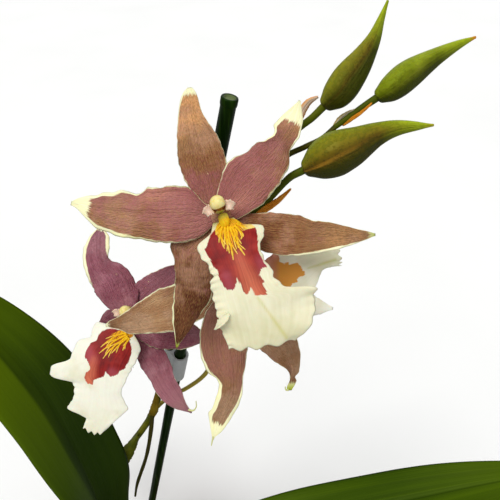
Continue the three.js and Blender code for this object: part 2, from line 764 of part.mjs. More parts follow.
function toBud({ path }) {
  const [first, second] = [vector(path[0]), vector(path[1])];
  const back = first.clone().sub(second).normalize();
  return [lead + ovaryGap, ovaryGap].map((far) => first.clone().addScaledVector(back, far).toArray());
}

const sideStalks = [
  { path: [[75, 8, 499.5], [78, 4, 503], ...toBloom(0)], radius: [1.3, 1.2, 1.5] },
  { path: [[41, 18.4, 422], [34.5, 16, 433], [29.2, 11, 445], ...toBloom(1)], radius: [1.3, 1.2, 1.4, 1.5] },
  {
    path: [[22, 14, 361], [28, 18.6, 364.5], [34.5, 20.2, 369.5], [42.4, 15, 382], [55.4, 8.1, 406],
      [63, 4.5, 434], [68.4, 1.5, 459], ...toBloom(2)],
    radius: [1.3, 1.3, 1.3, 1.2, 1.2, 1.2, 1.3, 1.5],
  },
  { path: [[88, 12.3, 520.8], [91.2, 15, 529.6], ...toBud(buds[0])], radius: [1, 1.1, 1.2, 1.3] },
  { path: [[105, 14.9, 532.3], [110, 15.8, 536], ...toBud(buds[1])], radius: [0.9, 1.1, 1.3] },
  { path: [[76.5, 7, 501.8], [83.3, 6.8, 508.9], ...toBud(buds[2])], radius: [1.2, 1.2, 1.2, 1.4] },
];

const driedShoot = {
  path: [[22.4, 14, 362], [20.6, 10.6, 350], [14.2, 9.4, 321], [3, 8.4, 284], [-0.6, 7.6, 268]],
  radius: [1.3, 1.1, 1, 1, 0.6],
};

const bracts = [
  {
    spine: [[77.6, 5.2, 501.6], [82, 5.2, 505.4], [87, 5.2, 509.6], [91.6, 4.8, 513.4]],
    halfWidth: 1.8,
  },
  {
    spine: [[90.6, 14.6, 528], [92.2, 17.8, 531.6], [94.6, 19, 535.6], [97, 19.4, 539]],
    halfWidth: 1.7,
  },
  {
    spine: [[104.4, 14.6, 531.6], [107.4, 13.8, 533], [111, 13.6, 535], [115, 14, 537.4]],
    halfWidth: 1.5,
  },
  {
    spine: [[103.8, 15.8, 532.4], [105.6, 16.8, 534.8], [108.6, 17.2, 537.4], [111.6, 17, 540]],
    halfWidth: 1.5,
  },
  {
    spine: [[20.6, 13.4, 356], [23.4, 11.8, 364], [26, 11.6, 374], [27.6, 11.2, 384]],
    halfWidth: 2.4,
  },
  {
    spine: [[-5, 10, 303], [0.6, 9, 316], [6.6, 10.4, 328], [12.4, 9.8, 343]],
    halfWidth: 3.6,
  },
];

function bractShape({ spine, halfWidth }) {
  return bladeSolid({
    spine,
    face: [0, -1, 0.2],
    left: [0.8, 1, 0.9, 0.6, 0.18].map((part) => part * halfWidth),
    cup: halfWidth * -0.3,
    rows: 4,
    columns: 2,
    thickness: 0.7,
  });
}

function flowerSpike() {
  const stem = stalk({ path: spikePath, radius: spikeRadius, sides: 8, steps: 36 });
  const stalks = sideStalks.map((side) => stalk({ ...side, sides: 6, steps: 2 * side.path.length }));
  const shoot = stalk({ ...driedShoot, sides: 5, steps: 7 });
  return node('flower_spike', join(stem, ...stalks, shoot, ...bracts.map(bractShape)), finishes.stem);
}

// Cane and the clip that ties the spike to it
const clip = { height: 405, length: 18, wall: 1.1, clearance: 0.45, spikeRadius: 2.05 };

function caneAt(height) {
  const [footX, footY, footZ] = caneFoot;
  const axis = caneAxis();
  const run = (height - footZ) / axis.z;
  return [footX + axis.x * run, footY + axis.y * run, height];
}

function ring(x, y, radius) {
  const path = new THREE.Path();
  path.absarc(x, y, radius, 0, 2 * Math.PI, true);
  return path;
}

function caneClip() {
  const [x, y] = caneAt(clip.height);
  const spikeOffset = vector([35.4 - x, 17.4 - y, 0]);
  const reach = spikeOffset.length();
  const caneHole = caneRadius + clip.clearance;
  const spikeHole = clip.spikeRadius + clip.clearance;
  const shape = new THREE.Shape();
  shape.absarc(0, 0, caneHole + clip.wall, degrees(60), degrees(300), false);
  shape.absarc(reach, 0, spikeHole + clip.wall, degrees(240), degrees(120), false);
  shape.closePath();
  shape.holes.push(ring(0, 0, caneHole), ring(reach, 0, spikeHole));
  const settings = { depth: clip.length, bevelEnabled: false, curveSegments: 8 };
  const body = new THREE.ExtrudeGeometry(shape, settings);
  body.translate(0, 0, -clip.length / 2);
  const axis = caneAxis();
  const toSpike = spikeOffset.addScaledVector(axis, -spikeOffset.dot(axis)).normalize();
  const frame = new THREE.Matrix4().makeBasis(toSpike, axis.clone().cross(toSpike), axis);
  body.applyMatrix4(frame);
  body.translate(...caneAt(clip.height));
  return node('cane_clip', body, finishes.clip);
}

// The whole plant
const orchid = new THREE.Group();
orchid.name = 'potted_aliceara_orchid';
orchid.add(pot(), bark(), pseudobulbs());
leaves.forEach((leaf, k) => orchid.add(node(`leaf_${k + 1}`, bladeSolid(leafBlade(leaf)), finishes.leaf)));
orchid.add(node('cane', caneShape(), finishes.cane), caneClip(), flowerSpike());
buds.forEach((bud) => orchid.add(node(bud.name, budShape(bud), finishes.bud)));
blooms.forEach((bloom) => orchid.add(bloomGroup(bloom)));

export default orchid;
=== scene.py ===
# %% [markdown]
# A potted aliceara orchid, dressed over its own plain solids. The solids are loaded first and stay
# where they are. Every piece below replaces one of them with a finer one in the same place.

# %% Load the frame
import math
import random

import bmesh
import bpy
import numpy as np
from mathutils import Matrix, Vector


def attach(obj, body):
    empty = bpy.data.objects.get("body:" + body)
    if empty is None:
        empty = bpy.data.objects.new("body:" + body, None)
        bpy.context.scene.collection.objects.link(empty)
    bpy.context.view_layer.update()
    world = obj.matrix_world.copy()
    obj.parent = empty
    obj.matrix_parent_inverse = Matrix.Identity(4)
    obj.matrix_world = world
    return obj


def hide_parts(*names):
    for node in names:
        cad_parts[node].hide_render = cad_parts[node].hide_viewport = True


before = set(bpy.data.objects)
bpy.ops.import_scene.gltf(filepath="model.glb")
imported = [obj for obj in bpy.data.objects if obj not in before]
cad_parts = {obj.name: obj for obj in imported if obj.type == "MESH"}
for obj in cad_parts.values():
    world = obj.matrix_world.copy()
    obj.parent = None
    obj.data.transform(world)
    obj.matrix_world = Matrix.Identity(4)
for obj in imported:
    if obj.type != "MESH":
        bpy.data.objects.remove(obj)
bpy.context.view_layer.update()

MM = 0.001

# %% [markdown]
# Petals, leaves and stems are all described by a line through a few points and by lists of numbers
# that change slowly along it. Two small tools read them: one gives the value anywhere along a list,
# the other walks along the line by length, so that nothing bunches up where the points are close.

# %% Smooth lists and paths
def along(values, s):
    """The value at s, from 0 to 1, of a number or of a smooth line through values at even steps."""
    s = np.asarray(s, float)
    if np.isscalar(values):
        return np.full(s.shape, float(values))
    values = np.asarray(values, float)
    place = np.clip(s, 0, 1) * (len(values) - 1)
    i = np.minimum(place.astype(int), len(values) - 2)
    t = place - i
    a, b = values[i], values[i + 1]
    before = values[np.maximum(i - 1, 0)]
    after = values[np.minimum(i + 2, len(values) - 1)]
    square = 2 * before - 5 * a + 4 * b - after
    cube = 3 * a - before - 3 * b + after
    return 0.5 * (2 * a + (b - before) * t + square * t * t + cube * t ** 3)


def unit(v):
    return v / np.maximum(np.linalg.norm(v, axis=-1, keepdims=True), 1e-12)


class Path:
    """A smooth line through points in millimetres, read by the length walked along it."""

    def __init__(self, points):
        self.points = np.array(points, float)
        self.fine = np.linspace(0, 1, 401)
        walked = self.between(self.fine)
        steps = np.linalg.norm(np.diff(walked, axis=0), axis=1)
        self.run = np.concatenate([[0], np.cumsum(steps)])
        self.length = self.run[-1]

    def between(self, t):
        p = self.points
        last = len(p) - 1
        place = np.clip(t, 0, 1) * last
        i = np.minimum(place.astype(int), last - 1)
        w = (place - i)[..., None]
        longer = np.vstack([2 * p[0] - p[1], p, 2 * p[-1] - p[-2]])
        q = [longer[i + k] for k in range(4)]
        gap = [np.linalg.norm(q[k + 1] - q[k], axis=-1, keepdims=True) ** 0.5 for k in range(3)]
        a = (q[1] - q[0]) / gap[0] - (q[2] - q[0]) / (gap[0] + gap[1]) + (q[2] - q[1]) / gap[1]
        b = (q[2] - q[1]) / gap[1] - (q[3] - q[1]) / (gap[1] + gap[2]) + (q[3] - q[2]) / gap[2]
        a, b = a * gap[1], b * gap[1]
        return q[1] + a * w + (3 * (q[2] - q[1]) - 2 * a - b) * w ** 2 + (2 * (q[1] - q[2]) + a + b) * w ** 3

    def at(self, s):
        return self.between(np.interp(np.asarray(s, float) * self.length, self.run, self.fine))

    def heading(self, s):
        s = np.asarray(s, float)
        return unit(self.at(np.minimum(s + 1e-3, 1)) - self.at(np.maximum(s - 1e-3, 0)))


print("half way along a short list:", along([0, 1, 4], 0.5))

# %% [markdown]
# Shape comes from a flat grid of squares that Blender makes and that is then moved into place, point
# by point. One side of the grid runs along the petal or stem and the other across it or round it,
# so the grid's own map of the surface follows the veins. Numbers painted on the points, such as how
# much of the cream edge is there, travel with the mesh to the material.

# %% Grids moved into place
def lay_grid(bm, places, paint):
    """A grid whose points go to places, rows x columns x 3 in millimetres."""
    rows, columns = places.shape[0] - 1, places.shape[1] - 1
    made = bmesh.ops.create_grid(bm, x_segments=rows, y_segments=columns, size=1, calc_uvs=True)["verts"]
    for vert in made:
        i = round((vert.co.x + 1) / 2 * rows)
        j = round((vert.co.y + 1) / 2 * columns)
        for name, values in paint.items():
            vert[bm.verts.layers.float[name]] = values[i, j]
        vert.co = places[i, j] * MM
    return made


def start_mesh(*painted):
    bm = bmesh.new()
    bm.loops.layers.uv.new("UVMap")
    for name in painted:
        bm.verts.layers.float.new(name)
    return bm


def as_grid(value, shape):
    return np.broadcast_to(np.asarray(value, float), shape)


MERGE = 2e-6


def close_up(bm):
    bmesh.ops.remove_doubles(bm, verts=bm.verts, dist=MERGE)
    bmesh.ops.recalc_face_normals(bm, faces=bm.faces)


def finish_piece(bm, name, finish, slot, *nodes, sharp=None, place=None):
    """Closes the mesh, makes it an object and lets it stand for its nodes."""
    close_up(bm)
    if place is not None:
        bmesh.ops.transform(bm, matrix=place, verts=bm.verts)
    for face in bm.faces:
        face.smooth = True
    if sharp is not None:
        for edge in bm.edges:
            edge.smooth = len(edge.link_faces) == 2 and edge.calc_face_angle(0) < math.radians(sharp)
    mesh = bpy.data.meshes.new(name)
    bm.to_mesh(mesh)
    bm.free()
    piece = bpy.data.objects.new(name, mesh)
    bpy.context.collection.objects.link(piece)
    mesh.materials.append(finish)
    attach(piece, "root")
    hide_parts(*nodes)
    open_edges = sum(1 for edge in mesh.edges if edge.is_loose)
    print(f"{name}: {len(mesh.polygons)} faces, {open_edges} loose edges")
    return piece


# %% [markdown]
# A petal or a leaf is a thin blade: a middle line, a half width on each side, and slow changes of
# fold, twist, cup and wave. Two grids take the same curved sheet, one for each face, and part by the
# blade's thickness. They meet at the rim, where the thickness runs out in a round edge, so that the
# blade is one closed skin. A blade may also be given the outline of its rim, and each row then
# reaches out to it.

# %% Thin blades
EDGE_STEP = 0.35


def reach(outline, foot, way):
    """How far it is from foot to the outline in the direction way, in the plane."""
    corners = np.array(outline, float)
    nexts = np.roll(corners, -1, axis=0)
    side = nexts - corners
    gap = corners - foot
    cross = way[0] * side[:, 1] - way[1] * side[:, 0]
    cross = np.where(np.abs(cross) < 1e-9, 1e-9, cross)
    far = (gap[:, 0] * side[:, 1] - gap[:, 1] * side[:, 0]) / cross
    part = (gap[:, 0] * way[1] - gap[:, 1] * way[0]) / cross
    hits = far[(part >= 0) & (part <= 1) & (far > 0)]
    return hits.min() if len(hits) else 0


def reaches(path, outline, steps=60):
    """Half widths to the left and to the right of the path, at even steps."""
    pair = []
    for hand in (-1, 1):
        widths = []
        for s in np.linspace(0, 1, steps + 1):
            foot, way = path.at(s), path.heading(s)
            side = unit(np.array([way[1], -way[0]]))
            widths.append(max(reach(outline, foot[:2], hand * side), 0.25))
        padded = np.pad(widths, 1, mode="edge")
        pair.append((padded[:-2] + 2 * padded[1:-1] + padded[2:]) / 4)
    return pair


def blade_places(blade, s, v):
    """Places on the blade's middle sheet, at s along it and v across it from -1 to 1."""
    path = blade["path"]
    place, way = path.at(s), path.heading(s)
    if "across" in blade:
        across = np.array(blade["across"], float)
        side = unit(across - way * (way @ across)[..., None])
    else:
        side = unit(np.cross(way, np.array(blade.get("face", (0, 0, 1)), float)))
    twist = np.radians(-along(blade.get("twist", 0), s))[..., None]
    side = side * np.cos(twist) + np.cross(way, side) * np.sin(twist)
    out = np.cross(side, way)
    half = np.where(v < 0, along(blade["left"], s), along(blade.get("right", blade["left"]), s))
    seed = blade.get("seed", 0)
    nibble = blade.get("nibble", 0)
    if nibble:
        bites = np.sin(31 * s + 2.1 * seed + 2 * np.sign(v)) + np.sin(57 * s + seed) + np.sin(97 * s - seed)
        half = half * (1 + nibble * bites * np.abs(v) ** 3 * np.sin(np.pi * s))
    slope = np.radians(along(blade.get("fold", 0), s))
    edge = np.abs(v)
    ripple = np.sin(2 * np.pi * (blade.get("waves", 3) * s + np.where(v < 0, EDGE_STEP, 0)))
    lift = (along(blade.get("cup", 0), s) + along(blade.get("wave", 0), s) * ripple) * v * v
    frill = along(blade.get("frill", 0), s)
    frills = blade.get("frills", 9)
    uneven = 0.6 + 0.4 * np.sin(17 * s + 2 * seed)
    frill = frill * np.where(v < 0, blade.get("calm", 1), 1) * uneven * edge ** blade.get("rim_width", 4)
    lift = lift + frill * np.sin(2 * np.pi * (frills * s + 0.35 * np.sin(11 * s + seed)) + 2 * np.sign(v))
    groove = blade.get("groove", 0)
    lift = lift - groove * np.exp(-(v / 0.06) ** 2) * np.sin(np.pi * s) ** 0.5
    scallops = np.sin(blade.get("scallops", 5) * np.pi * v + seed)
    pull = blade.get("round", 0) * v * v - blade.get("scallop", 0) * scallops
    places = place + side * (v * half * np.cos(slope))[..., None]
    places = places + out * (edge * half * np.sin(slope) + lift)[..., None]
    return places - way * (pull * s ** 8)[..., None]


def prepared(blade):
    blade = dict(blade)
    if blade.get("pointed"):
        spine = [np.array(point, float) for point in blade["spine"]]
        way = unit(spine[-1] - spine[-2])
        far = reach(blade["outline"], spine[-1][:2], unit(way[:2]))
        spine[-1] = spine[-1] + way * min(far * 0.96, 5)
        blade["spine"] = spine
    blade["path"] = Path(blade["spine"])
    if "outline" in blade:
        blade["left"], blade["right"] = reaches(blade["path"], blade["outline"])
    return blade


def add_blade(bm, blade, rows, columns, thickness, paint=None):
    """Adds one closed blade; paint gives numbers for its points from s, v and places."""
    blade = prepared(blade)
    s, v = np.meshgrid(np.linspace(0, 1, rows + 1), np.linspace(-1, 1, columns + 1), indexing="ij")
    middle = blade_places(blade, s, v)
    lengthwise, sideways = np.gradient(middle, axis=0), np.gradient(middle, axis=1)
    out = unit(np.cross(sideways, lengthwise))
    thin = np.sqrt(np.clip(1 - v ** 8, 0, 1) * np.clip(1 - (2 * s - 1) ** 20, 0, 1))
    veins = blade.get("veins", 0)
    relief = veins * np.cos(blade.get("vein_count", 9) * np.pi * v) * thin
    numbers = paint(blade, s, v, middle) if paint else {}
    painted = {name: as_grid(values, s.shape) for name, values in numbers.items()}
    for hand in (1, -1):
        shift = hand * thickness / 2 * thin + relief * (1 - v ** 8)
        lay_grid(bm, middle + out * shift[..., None], painted)


# %% [markdown]
# Stems, buds, bulbs and roots are the same kind of grid rolled round a path, with a radius that
# changes along it. The rows draw together to a point at both ends in a few steps, which rounds them
# off, and the first and last column meet in a seam that is merged.

# %% Round stalks
def add_tube(bm, points, radius, sides=24, steps=24, flat=1, ribs=0, rib_height=0, reference=(0, 1, 0),
             rounding=0.6, paint=None, bump=None):
    path = Path(points)
    turn = np.linspace(0, math.pi / 2, 5 if rounding < 0.8 else 12)
    ends = [along(radius, end) * rounding / path.length * (1 - np.cos(turn)) for end in (0.0, 1.0)]
    middle = np.linspace(ends[0][-1], 1 - ends[1][-1], steps + 1)[1:-1]
    s = np.concatenate([ends[0], middle, 1 - ends[1][::-1]])
    full = np.concatenate([np.sin(turn), np.ones(len(middle)), np.sin(turn)[::-1]])
    full[0] = full[-1] = 0
    angle = np.linspace(0, 2 * math.pi, sides + 1)
    angle[-1] = 0
    place, way = path.at(s), path.heading(s)
    guide = np.array(reference, float)
    first = unit(guide - way * (way @ guide)[..., None])
    second = np.cross(way, first)
    grid_s, grid_a = np.meshgrid(s, angle, indexing="ij")
    size = (along(radius, s) * full)[:, None] * (1 + rib_height * np.cos(ribs * grid_a))
    if bump:
        size = size * (1 + bump(grid_s, grid_a))
    places = (place[:, None] + first[:, None] * (size * np.cos(grid_a))[..., None]
              + second[:, None] * (size * flat * np.sin(grid_a))[..., None])
    numbers = paint(grid_s, grid_a, places) if paint else {}
    lay_grid(bm, places, {name: as_grid(values, grid_s.shape) for name, values in numbers.items()})


print("grids, blades and tubes ready")

# %% [markdown]
# Materials are sums of patterns. Written as nodes they are long, so a small class wraps each socket
# and lets Python's own signs add the Math nodes. Every other node comes from one call that takes the
# node's type, its settings and what goes into it.

# %% Shader sums
def rgb(red, green, blue):
    """A colour as it looks on a screen, 0 to 255, in the linear values that a shader wants."""
    return tuple((c / 255 / 12.92) if c < 11 else ((c / 255 + 0.055) / 1.055) ** 2.4
                 for c in (red, green, blue)) + (1,)


class Number:
    """A socket that takes part in sums."""

    def __init__(self, finish, socket):
        self.finish, self.socket = finish, socket

    def __add__(self, other):
        return self.finish.math("ADD", self, other)

    def __sub__(self, other):
        return self.finish.math("SUBTRACT", self, other)

    def __rsub__(self, other):
        return self.finish.math("SUBTRACT", other, self)

    def __mul__(self, other):
        return self.finish.math("MULTIPLY", self, other)

    __radd__, __rmul__ = __add__, __mul__


class Finish:
    """A material and the few calls that build its nodes."""

    def __init__(self, name):
        self.material = bpy.data.materials.new(name)
        self.material.use_nodes = True
        self.tree = self.material.node_tree
        self.shader = self.tree.nodes["Principled BSDF"]

    def feed(self, socket, value):
        if isinstance(value, Number):
            self.tree.links.new(value.socket, socket)
        else:
            socket.default_value = value

    def node(self, kind, settings=None, sockets=None, output=0):
        made = self.tree.nodes.new("ShaderNode" + kind)
        for key, value in (settings or {}).items():
            if key == "stops":
                ramp = made.color_ramp
                while len(ramp.elements) < len(value):
                    ramp.elements.new(1)
                for element, (place, colour) in zip(ramp.elements, value):
                    element.position, element.color = place, colour
            else:
                setattr(made, key, value)
        for key, value in (sockets or {}).items():
            self.feed(made.inputs[key], value)
        return Number(self, made.outputs[output])

    def math(self, operation, *values):
        return self.node("Math", {"operation": operation}, dict(enumerate(values)))

    def step(self, value, low, high):
        """0 below low, 1 above high and smooth between them."""
        settings = {"interpolation_type": "SMOOTHSTEP"}
        return self.node("MapRange", settings, {"Value": value, "From Min": low, "From Max": high})

    def mix(self, factor, first, second):
        return self.node("Mix", {"data_type": "RGBA"}, {0: factor, 6: first, 7: second}, output=2)

    def coats(self, colour, *layers):
        """Lays coats over a colour, each given as how much of it shows and its own colour."""
        for much, coat in layers:
            colour = self.mix(much, colour, coat)
        return colour

    def ramp(self, value, *stops):
        return self.node("ValToRGB", {"stops": stops}, {"Fac": value})

    def painted(self, name):
        return self.node("Attribute", {"attribute_name": name}, output=2)

    def where(self):
        """The place in metres, the same on every piece."""
        return self.node("TexCoord", output=3)

    def stretched(self, place, *scale):
        """A place whose axes are scaled, which draws a pattern out along the smallest one."""
        return self.node("VectorMath", {"operation": "MULTIPLY"}, {0: place, 1: scale})

    def across_blade(self, lengthwise, crosswise):
        """The blade's own map, stretched, and shifted by each blade's seed."""
        flat = self.node("TexCoord", output=2)
        parts = self.tree.nodes.new("ShaderNodeSeparateXYZ")
        self.feed(parts.inputs[0], flat)
        run, spread = Number(self, parts.outputs[0]), Number(self, parts.outputs[1])
        sockets = {"X": run * lengthwise, "Y": spread * crosswise, "Z": self.painted("seed")}
        return self.node("CombineXYZ", None, sockets)

    def noise(self, place, scale, detail=3, rough=0.55):
        sockets = {"Vector": place, "Scale": scale, "Detail": detail, "Roughness": rough}
        return self.node("TexNoise", None, sockets)

    def bumped(self, height, distance, strength):
        sockets = {"Height": height, "Distance": distance, "Strength": strength}
        self.feed(self.shader.inputs["Normal"], self.node("Bump", None, sockets))

    def surface(self, **sockets):
        for key, value in sockets.items():
            self.feed(self.shader.inputs[key.replace("_", " ")], value)
        return self.material


print("tools ready")

# %% [markdown]
# The pot is plain thrown clay with a rim band. A potter turns it, and so does Blender: half of its
# section is drawn once and spun round. The clay is a warm brown with a bloom of lime, a fine grit and
# a darker, damp foot.

# %% Spun shapes
def spin_section(bm, section, steps):
    """Turns a section of radius and height in millimetres once round the Z axis."""
    verts = [bm.verts.new((radius * MM, 0, height * MM)) for radius, height in section]
    edges = [bm.edges.new(pair) for pair in zip(verts, verts[1:])]
    bmesh.ops.spin(bm, geom=verts + edges, cent=(0, 0, 0), axis=(0, 0, 1), angle=2 * math.pi,
                   steps=steps, use_merge=True, use_duplicate=False)


def cut_holes(piece, cutters):
    """Cuts closed cutters out of a piece and removes them."""
    for cutter in cutters:
        cutting = piece.modifiers.new("hole", "BOOLEAN")
        cutting.object, cutting.solver = cutter, "EXACT"
    bpy.context.view_layer.update()
    whole = bpy.data.meshes.new_from_object(piece.evaluated_get(bpy.context.evaluated_depsgraph_get()))
    piece.modifiers.clear()
    piece.data = whole
    for cutter in cutters:
        bpy.data.objects.remove(cutter)


POT_FOOT, POT_MOUTH, POT_HEIGHT, POT_FLOOR = 48, 61, 110, 6
POT_WALL, LIP_DROP = 3.6, 1.5


def inner_radius(height):
    return np.interp(height, [POT_FLOOR, POT_HEIGHT - LIP_DROP], [POT_FOOT - POT_WALL, POT_MOUTH])


clay = Finish("fired_clay")
spot = clay.where()
tone = clay.ramp(clay.noise(spot, 38, 6, 0.6), (0.3, rgb(166, 88, 58)), (0.5, rgb(186, 108, 74)),
                 (0.72, rgb(203, 130, 94)))
lime = clay.step(clay.noise(spot, 60, 8, 0.7), 0.55, 0.75)
grit = clay.noise(spot, 1500, 3, 0.7)
height = clay.node("SeparateXYZ", None, {0: spot}, output=2)
damp = clay.step(height + clay.noise(spot, 45) * 0.03, 0.012, 0.05)
colour = clay.mix(lime * 0.35, tone, rgb(226, 205, 186))
colour = clay.mix(damp * 0.75 + 0.25, rgb(122, 66, 46), colour)
colour = clay.mix(clay.step(grit, 0.62, 0.75) * 0.4, colour, rgb(120, 64, 44))
clay.bumped(grit + clay.noise(spot, 260) * 1.5, 0.0004, 0.5)
clay.surface(Base_Color=colour, Roughness=0.86 - lime * 0.1)
print(len(clay.tree.nodes), "nodes in the clay")

# %% [markdown]
# The section of the pot runs from the middle of its foot up the wall, round the rim band and down
# inside. Its four drain holes are cut with cylinders, which are thrown away afterwards.

# %% Pot
band_foot, wall_top = 90, 59.05
drain_radius, drain_ring = 4.5, 0.028
pot_section = [
    (0, 0), (40, 0), (41, 0.9), (44.5, 0.9), (45.5, 0), (46.3, 0), (47.4, 0.45), (48, 1.5),
    (wall_top - 4, 52), (wall_top - 0.2, 87), (wall_top + 0.5, band_foot - 1),
    (wall_top + 2, band_foot - 0.3), (64.1, band_foot), (64.8, band_foot + 0.6), (65, band_foot + 1.6),
    (65, 96), (64.8, 96.5), (65, 97), (65, 108.3), (64.6, 109.4), (63.5, 110), (62.6, 110), (61.6, 109.5),
    (61, 108.5), (52.7, 58), (45.2, 8), (44, 6.3), (42.5, 6), (0, 6),
]
bm = start_mesh()
spin_section(bm, pot_section, 144)
pot_piece = finish_piece(bm, "clay_pot", clay.material, "pot", "pot", sharp=50)
drains = []
for azimuth in (45, 135, 225, 315):
    bm = start_mesh()
    spin_section(bm, [(0, -5), (drain_radius, -5), (drain_radius, 12), (0, 12)], 32)
    turn = math.radians(azimuth)
    bmesh.ops.translate(bm, verts=bm.verts,
                        vec=(drain_ring * math.cos(turn), drain_ring * math.sin(turn), 0))
    close_up(bm)
    drill = bpy.data.meshes.new("drill")
    bm.to_mesh(drill)
    bm.free()
    drains.append(bpy.data.objects.new("drill", drill))
    bpy.context.collection.objects.link(drains[-1])
cut_holes(pot_piece, drains)
print("pot after its drain holes:", len(pot_piece.data.polygons), "faces")

# %% [markdown]
# Orchids grow in chips of bark, not in soil. One rounded fill closes the pot, and some hundreds of
# broken chips lie on and in it, each a cube whose corners are knocked about. Chips that would stand
# in a bulb or a stem are left away.

# %% Where the bulbs and stems stand
BULBS = {
    "left": dict(place=(-43, 1), top=158, size=14.5, lean=(-1, 0)),
    "front": dict(place=(-22, -8), top=168, size=16, lean=(0, 0)),
    "right": dict(place=(8, -10), top=165, size=16, lean=(0, 0)),
    "back": dict(place=(18, 20), top=160, size=14, lean=(1, 2)),
}
BULB_FOOT, BULB_FLATNESS = 84, 0.58
CANE_FOOT, CANE_TOP, CANE_RADIUS = (-36.9, 22.3, 40), (70.8, 10.3, 544.8), 2.6
SPIKE_FOOT = (-28, 12)
BARK_EDGE, BARK_MOUND = 100, 5


def bark_height(radius):
    return BARK_EDGE + BARK_MOUND * (1 - (radius / inner_radius(BARK_EDGE)) ** 2)


def is_taken(x, y, room):
    """Whether a chip at x, y would stand in a bulb, a young leaf, the cane or the spike."""
    for bulb in BULBS.values():
        away = ((x - bulb["place"][0]) / (0.6 * bulb["size"] + room),
                (y - bulb["place"][1]) / (bulb["size"] + room))
        if math.hypot(*away) < 1:
            return True
    stems = [(-24, 20.8, 4), (*SPIKE_FOOT, 5), (-28, -30, 6), (24, -24, 6), (-42, 27, 5), (-4, -36, 5)]
    return any(math.hypot(x - a, y - b) < size + room for a, b, size in stems)


bark_finish = Finish("pine_bark")
spot = bark_finish.where()
layers = bark_finish.noise(bark_finish.stretched(spot, 1, 1, 3), 210, 5, 0.65)
patches = bark_finish.noise(spot, 90, 2)
tone = bark_finish.ramp(layers, (0.3, rgb(52, 32, 22)), (0.5, rgb(98, 62, 40)), (0.7, rgb(150, 104, 68)))
colour = bark_finish.mix(bark_finish.step(patches, 0.5, 0.62) * 0.6, tone, rgb(74, 50, 38))
bark_finish.bumped(layers + bark_finish.noise(spot, 900) * 0.4, 0.0012, 0.7)
bark_finish.surface(Base_Color=colour, Roughness=0.92)
print(len(bark_finish.tree.nodes), "nodes in the bark finish")

# %% [markdown]
# The draws come from one fixed seed, but the chips don't lie in the same places each time: the faces of
# the spun mound come in another order in each run, and the mound takes its draws face by face, so it
# uses up more or fewer of them. A chip is stretched flat, turned and tilted a little, and sunk into the
# mound by a small chance amount.

# %% Bark chips
CHIPS, CHIP_SIZES, CHIP_REACH, FILL_EDGE = 420, (5, 12), 56, 59.5
FILL_TOP, FILL_ROUGH = 0.097, 0.0006
draw = random.Random(11)
bm = start_mesh()
fill = [(0, 6.35), (44, 6.35), (45, 8), (52.4, 58), (59.3, 97), (56, 98.5), (40, 100.5), (20, 102),
        (0, 102.5)]
spin_section(bm, fill, 72)
for face in bm.faces:
    for vert in face.verts:
        if vert.co.z > FILL_TOP:
            vert.co.z += draw.uniform(-FILL_ROUGH, FILL_ROUGH)
chips = 0
while chips < CHIPS:
    radius, angle = CHIP_REACH * math.sqrt(draw.random()), draw.uniform(0, 2 * math.pi)
    x, y = radius * math.cos(angle), radius * math.sin(angle)
    size = draw.uniform(*CHIP_SIZES)
    if is_taken(x, y, size * 0.45) or radius + size * 0.55 > FILL_EDGE:
        continue
    chip = bmesh.ops.create_cube(bm, size=1)["verts"]
    edges = list({edge for vert in chip for edge in vert.link_edges})
    chip = bmesh.ops.subdivide_edges(bm, edges=edges, cuts=1, use_grid_fill=True)["geom"]
    chip = list({vert for piece in chip if isinstance(piece, bmesh.types.BMFace) for vert in piece.verts})
    for vert in chip:
        swell = 1 - 0.16 * (vert.co.length - 0.5) * 2
        vert.co = vert.co * swell + Vector([draw.uniform(-0.09, 0.09) for _ in range(3)])
    width, depth = size * draw.uniform(0.5, 0.8), size * draw.uniform(0.25, 0.5)
    size_matrix = Matrix.Diagonal((size * MM, width * MM, depth * MM, 1))
    tilt = Matrix.Rotation(draw.gauss(0, 0.35), 4, "X") @ Matrix.Rotation(draw.gauss(0, 0.35), 4, "Y")
    turn = Matrix.Rotation(draw.uniform(0, math.pi), 4, "Z")
    height = bark_height(radius) + draw.uniform(-2.2, 1.6)
    place = Matrix.Translation(Vector((x, y, height)) * MM) @ turn @ tilt @ size_matrix
    bmesh.ops.transform(bm, matrix=place, verts=chip)
    chips += 1
finish_piece(bm, "bark_mix", bark_finish.material, "bark", "bark", sharp=35)
print(chips, "chips of bark")

# %% [markdown]
# The pseudobulbs are flattened, faintly ribbed storage stems that share one creeping rhizome. Each is
# a rolled grid with fine lengthwise wrinkles. Papery sheaths, the dead leaves that once wrapped them,
# cling to their edges, and a few silvery roots with green tips crawl over the bark. The same mesh
# carries numbers for paper and root, so one finish serves the whole grown piece.

# %% Bulb, root and sheath finish
bulb_finish = Finish("bulb_and_root")
spot = bulb_finish.where()
streaks = bulb_finish.noise(bulb_finish.stretched(spot, 1, 1, 0.12), 700, 4)
blotch = bulb_finish.noise(spot, 55, 4)
green = bulb_finish.ramp(blotch, (0.3, rgb(92, 108, 38)), (0.52, rgb(128, 140, 54)),
                         (0.7, rgb(158, 158, 78)))
green = bulb_finish.mix(bulb_finish.step(streaks, 0.5, 0.7) * 0.35, green, rgb(80, 92, 34))
paper = bulb_finish.ramp(streaks, (0.35, rgb(128, 96, 62)), (0.5, rgb(182, 150, 108)),
                         (0.7, rgb(214, 190, 150)))
silver = bulb_finish.mix(blotch, rgb(196, 198, 182), rgb(150, 156, 132))
silver = bulb_finish.mix(bulb_finish.painted("tip"), silver, rgb(120, 150, 60))
is_paper, is_root = bulb_finish.painted("paper"), bulb_finish.painted("root")
colour = bulb_finish.mix(is_root, bulb_finish.mix(is_paper, green, paper), silver)
bulb_finish.bumped(streaks, 0.0005, 0.5)
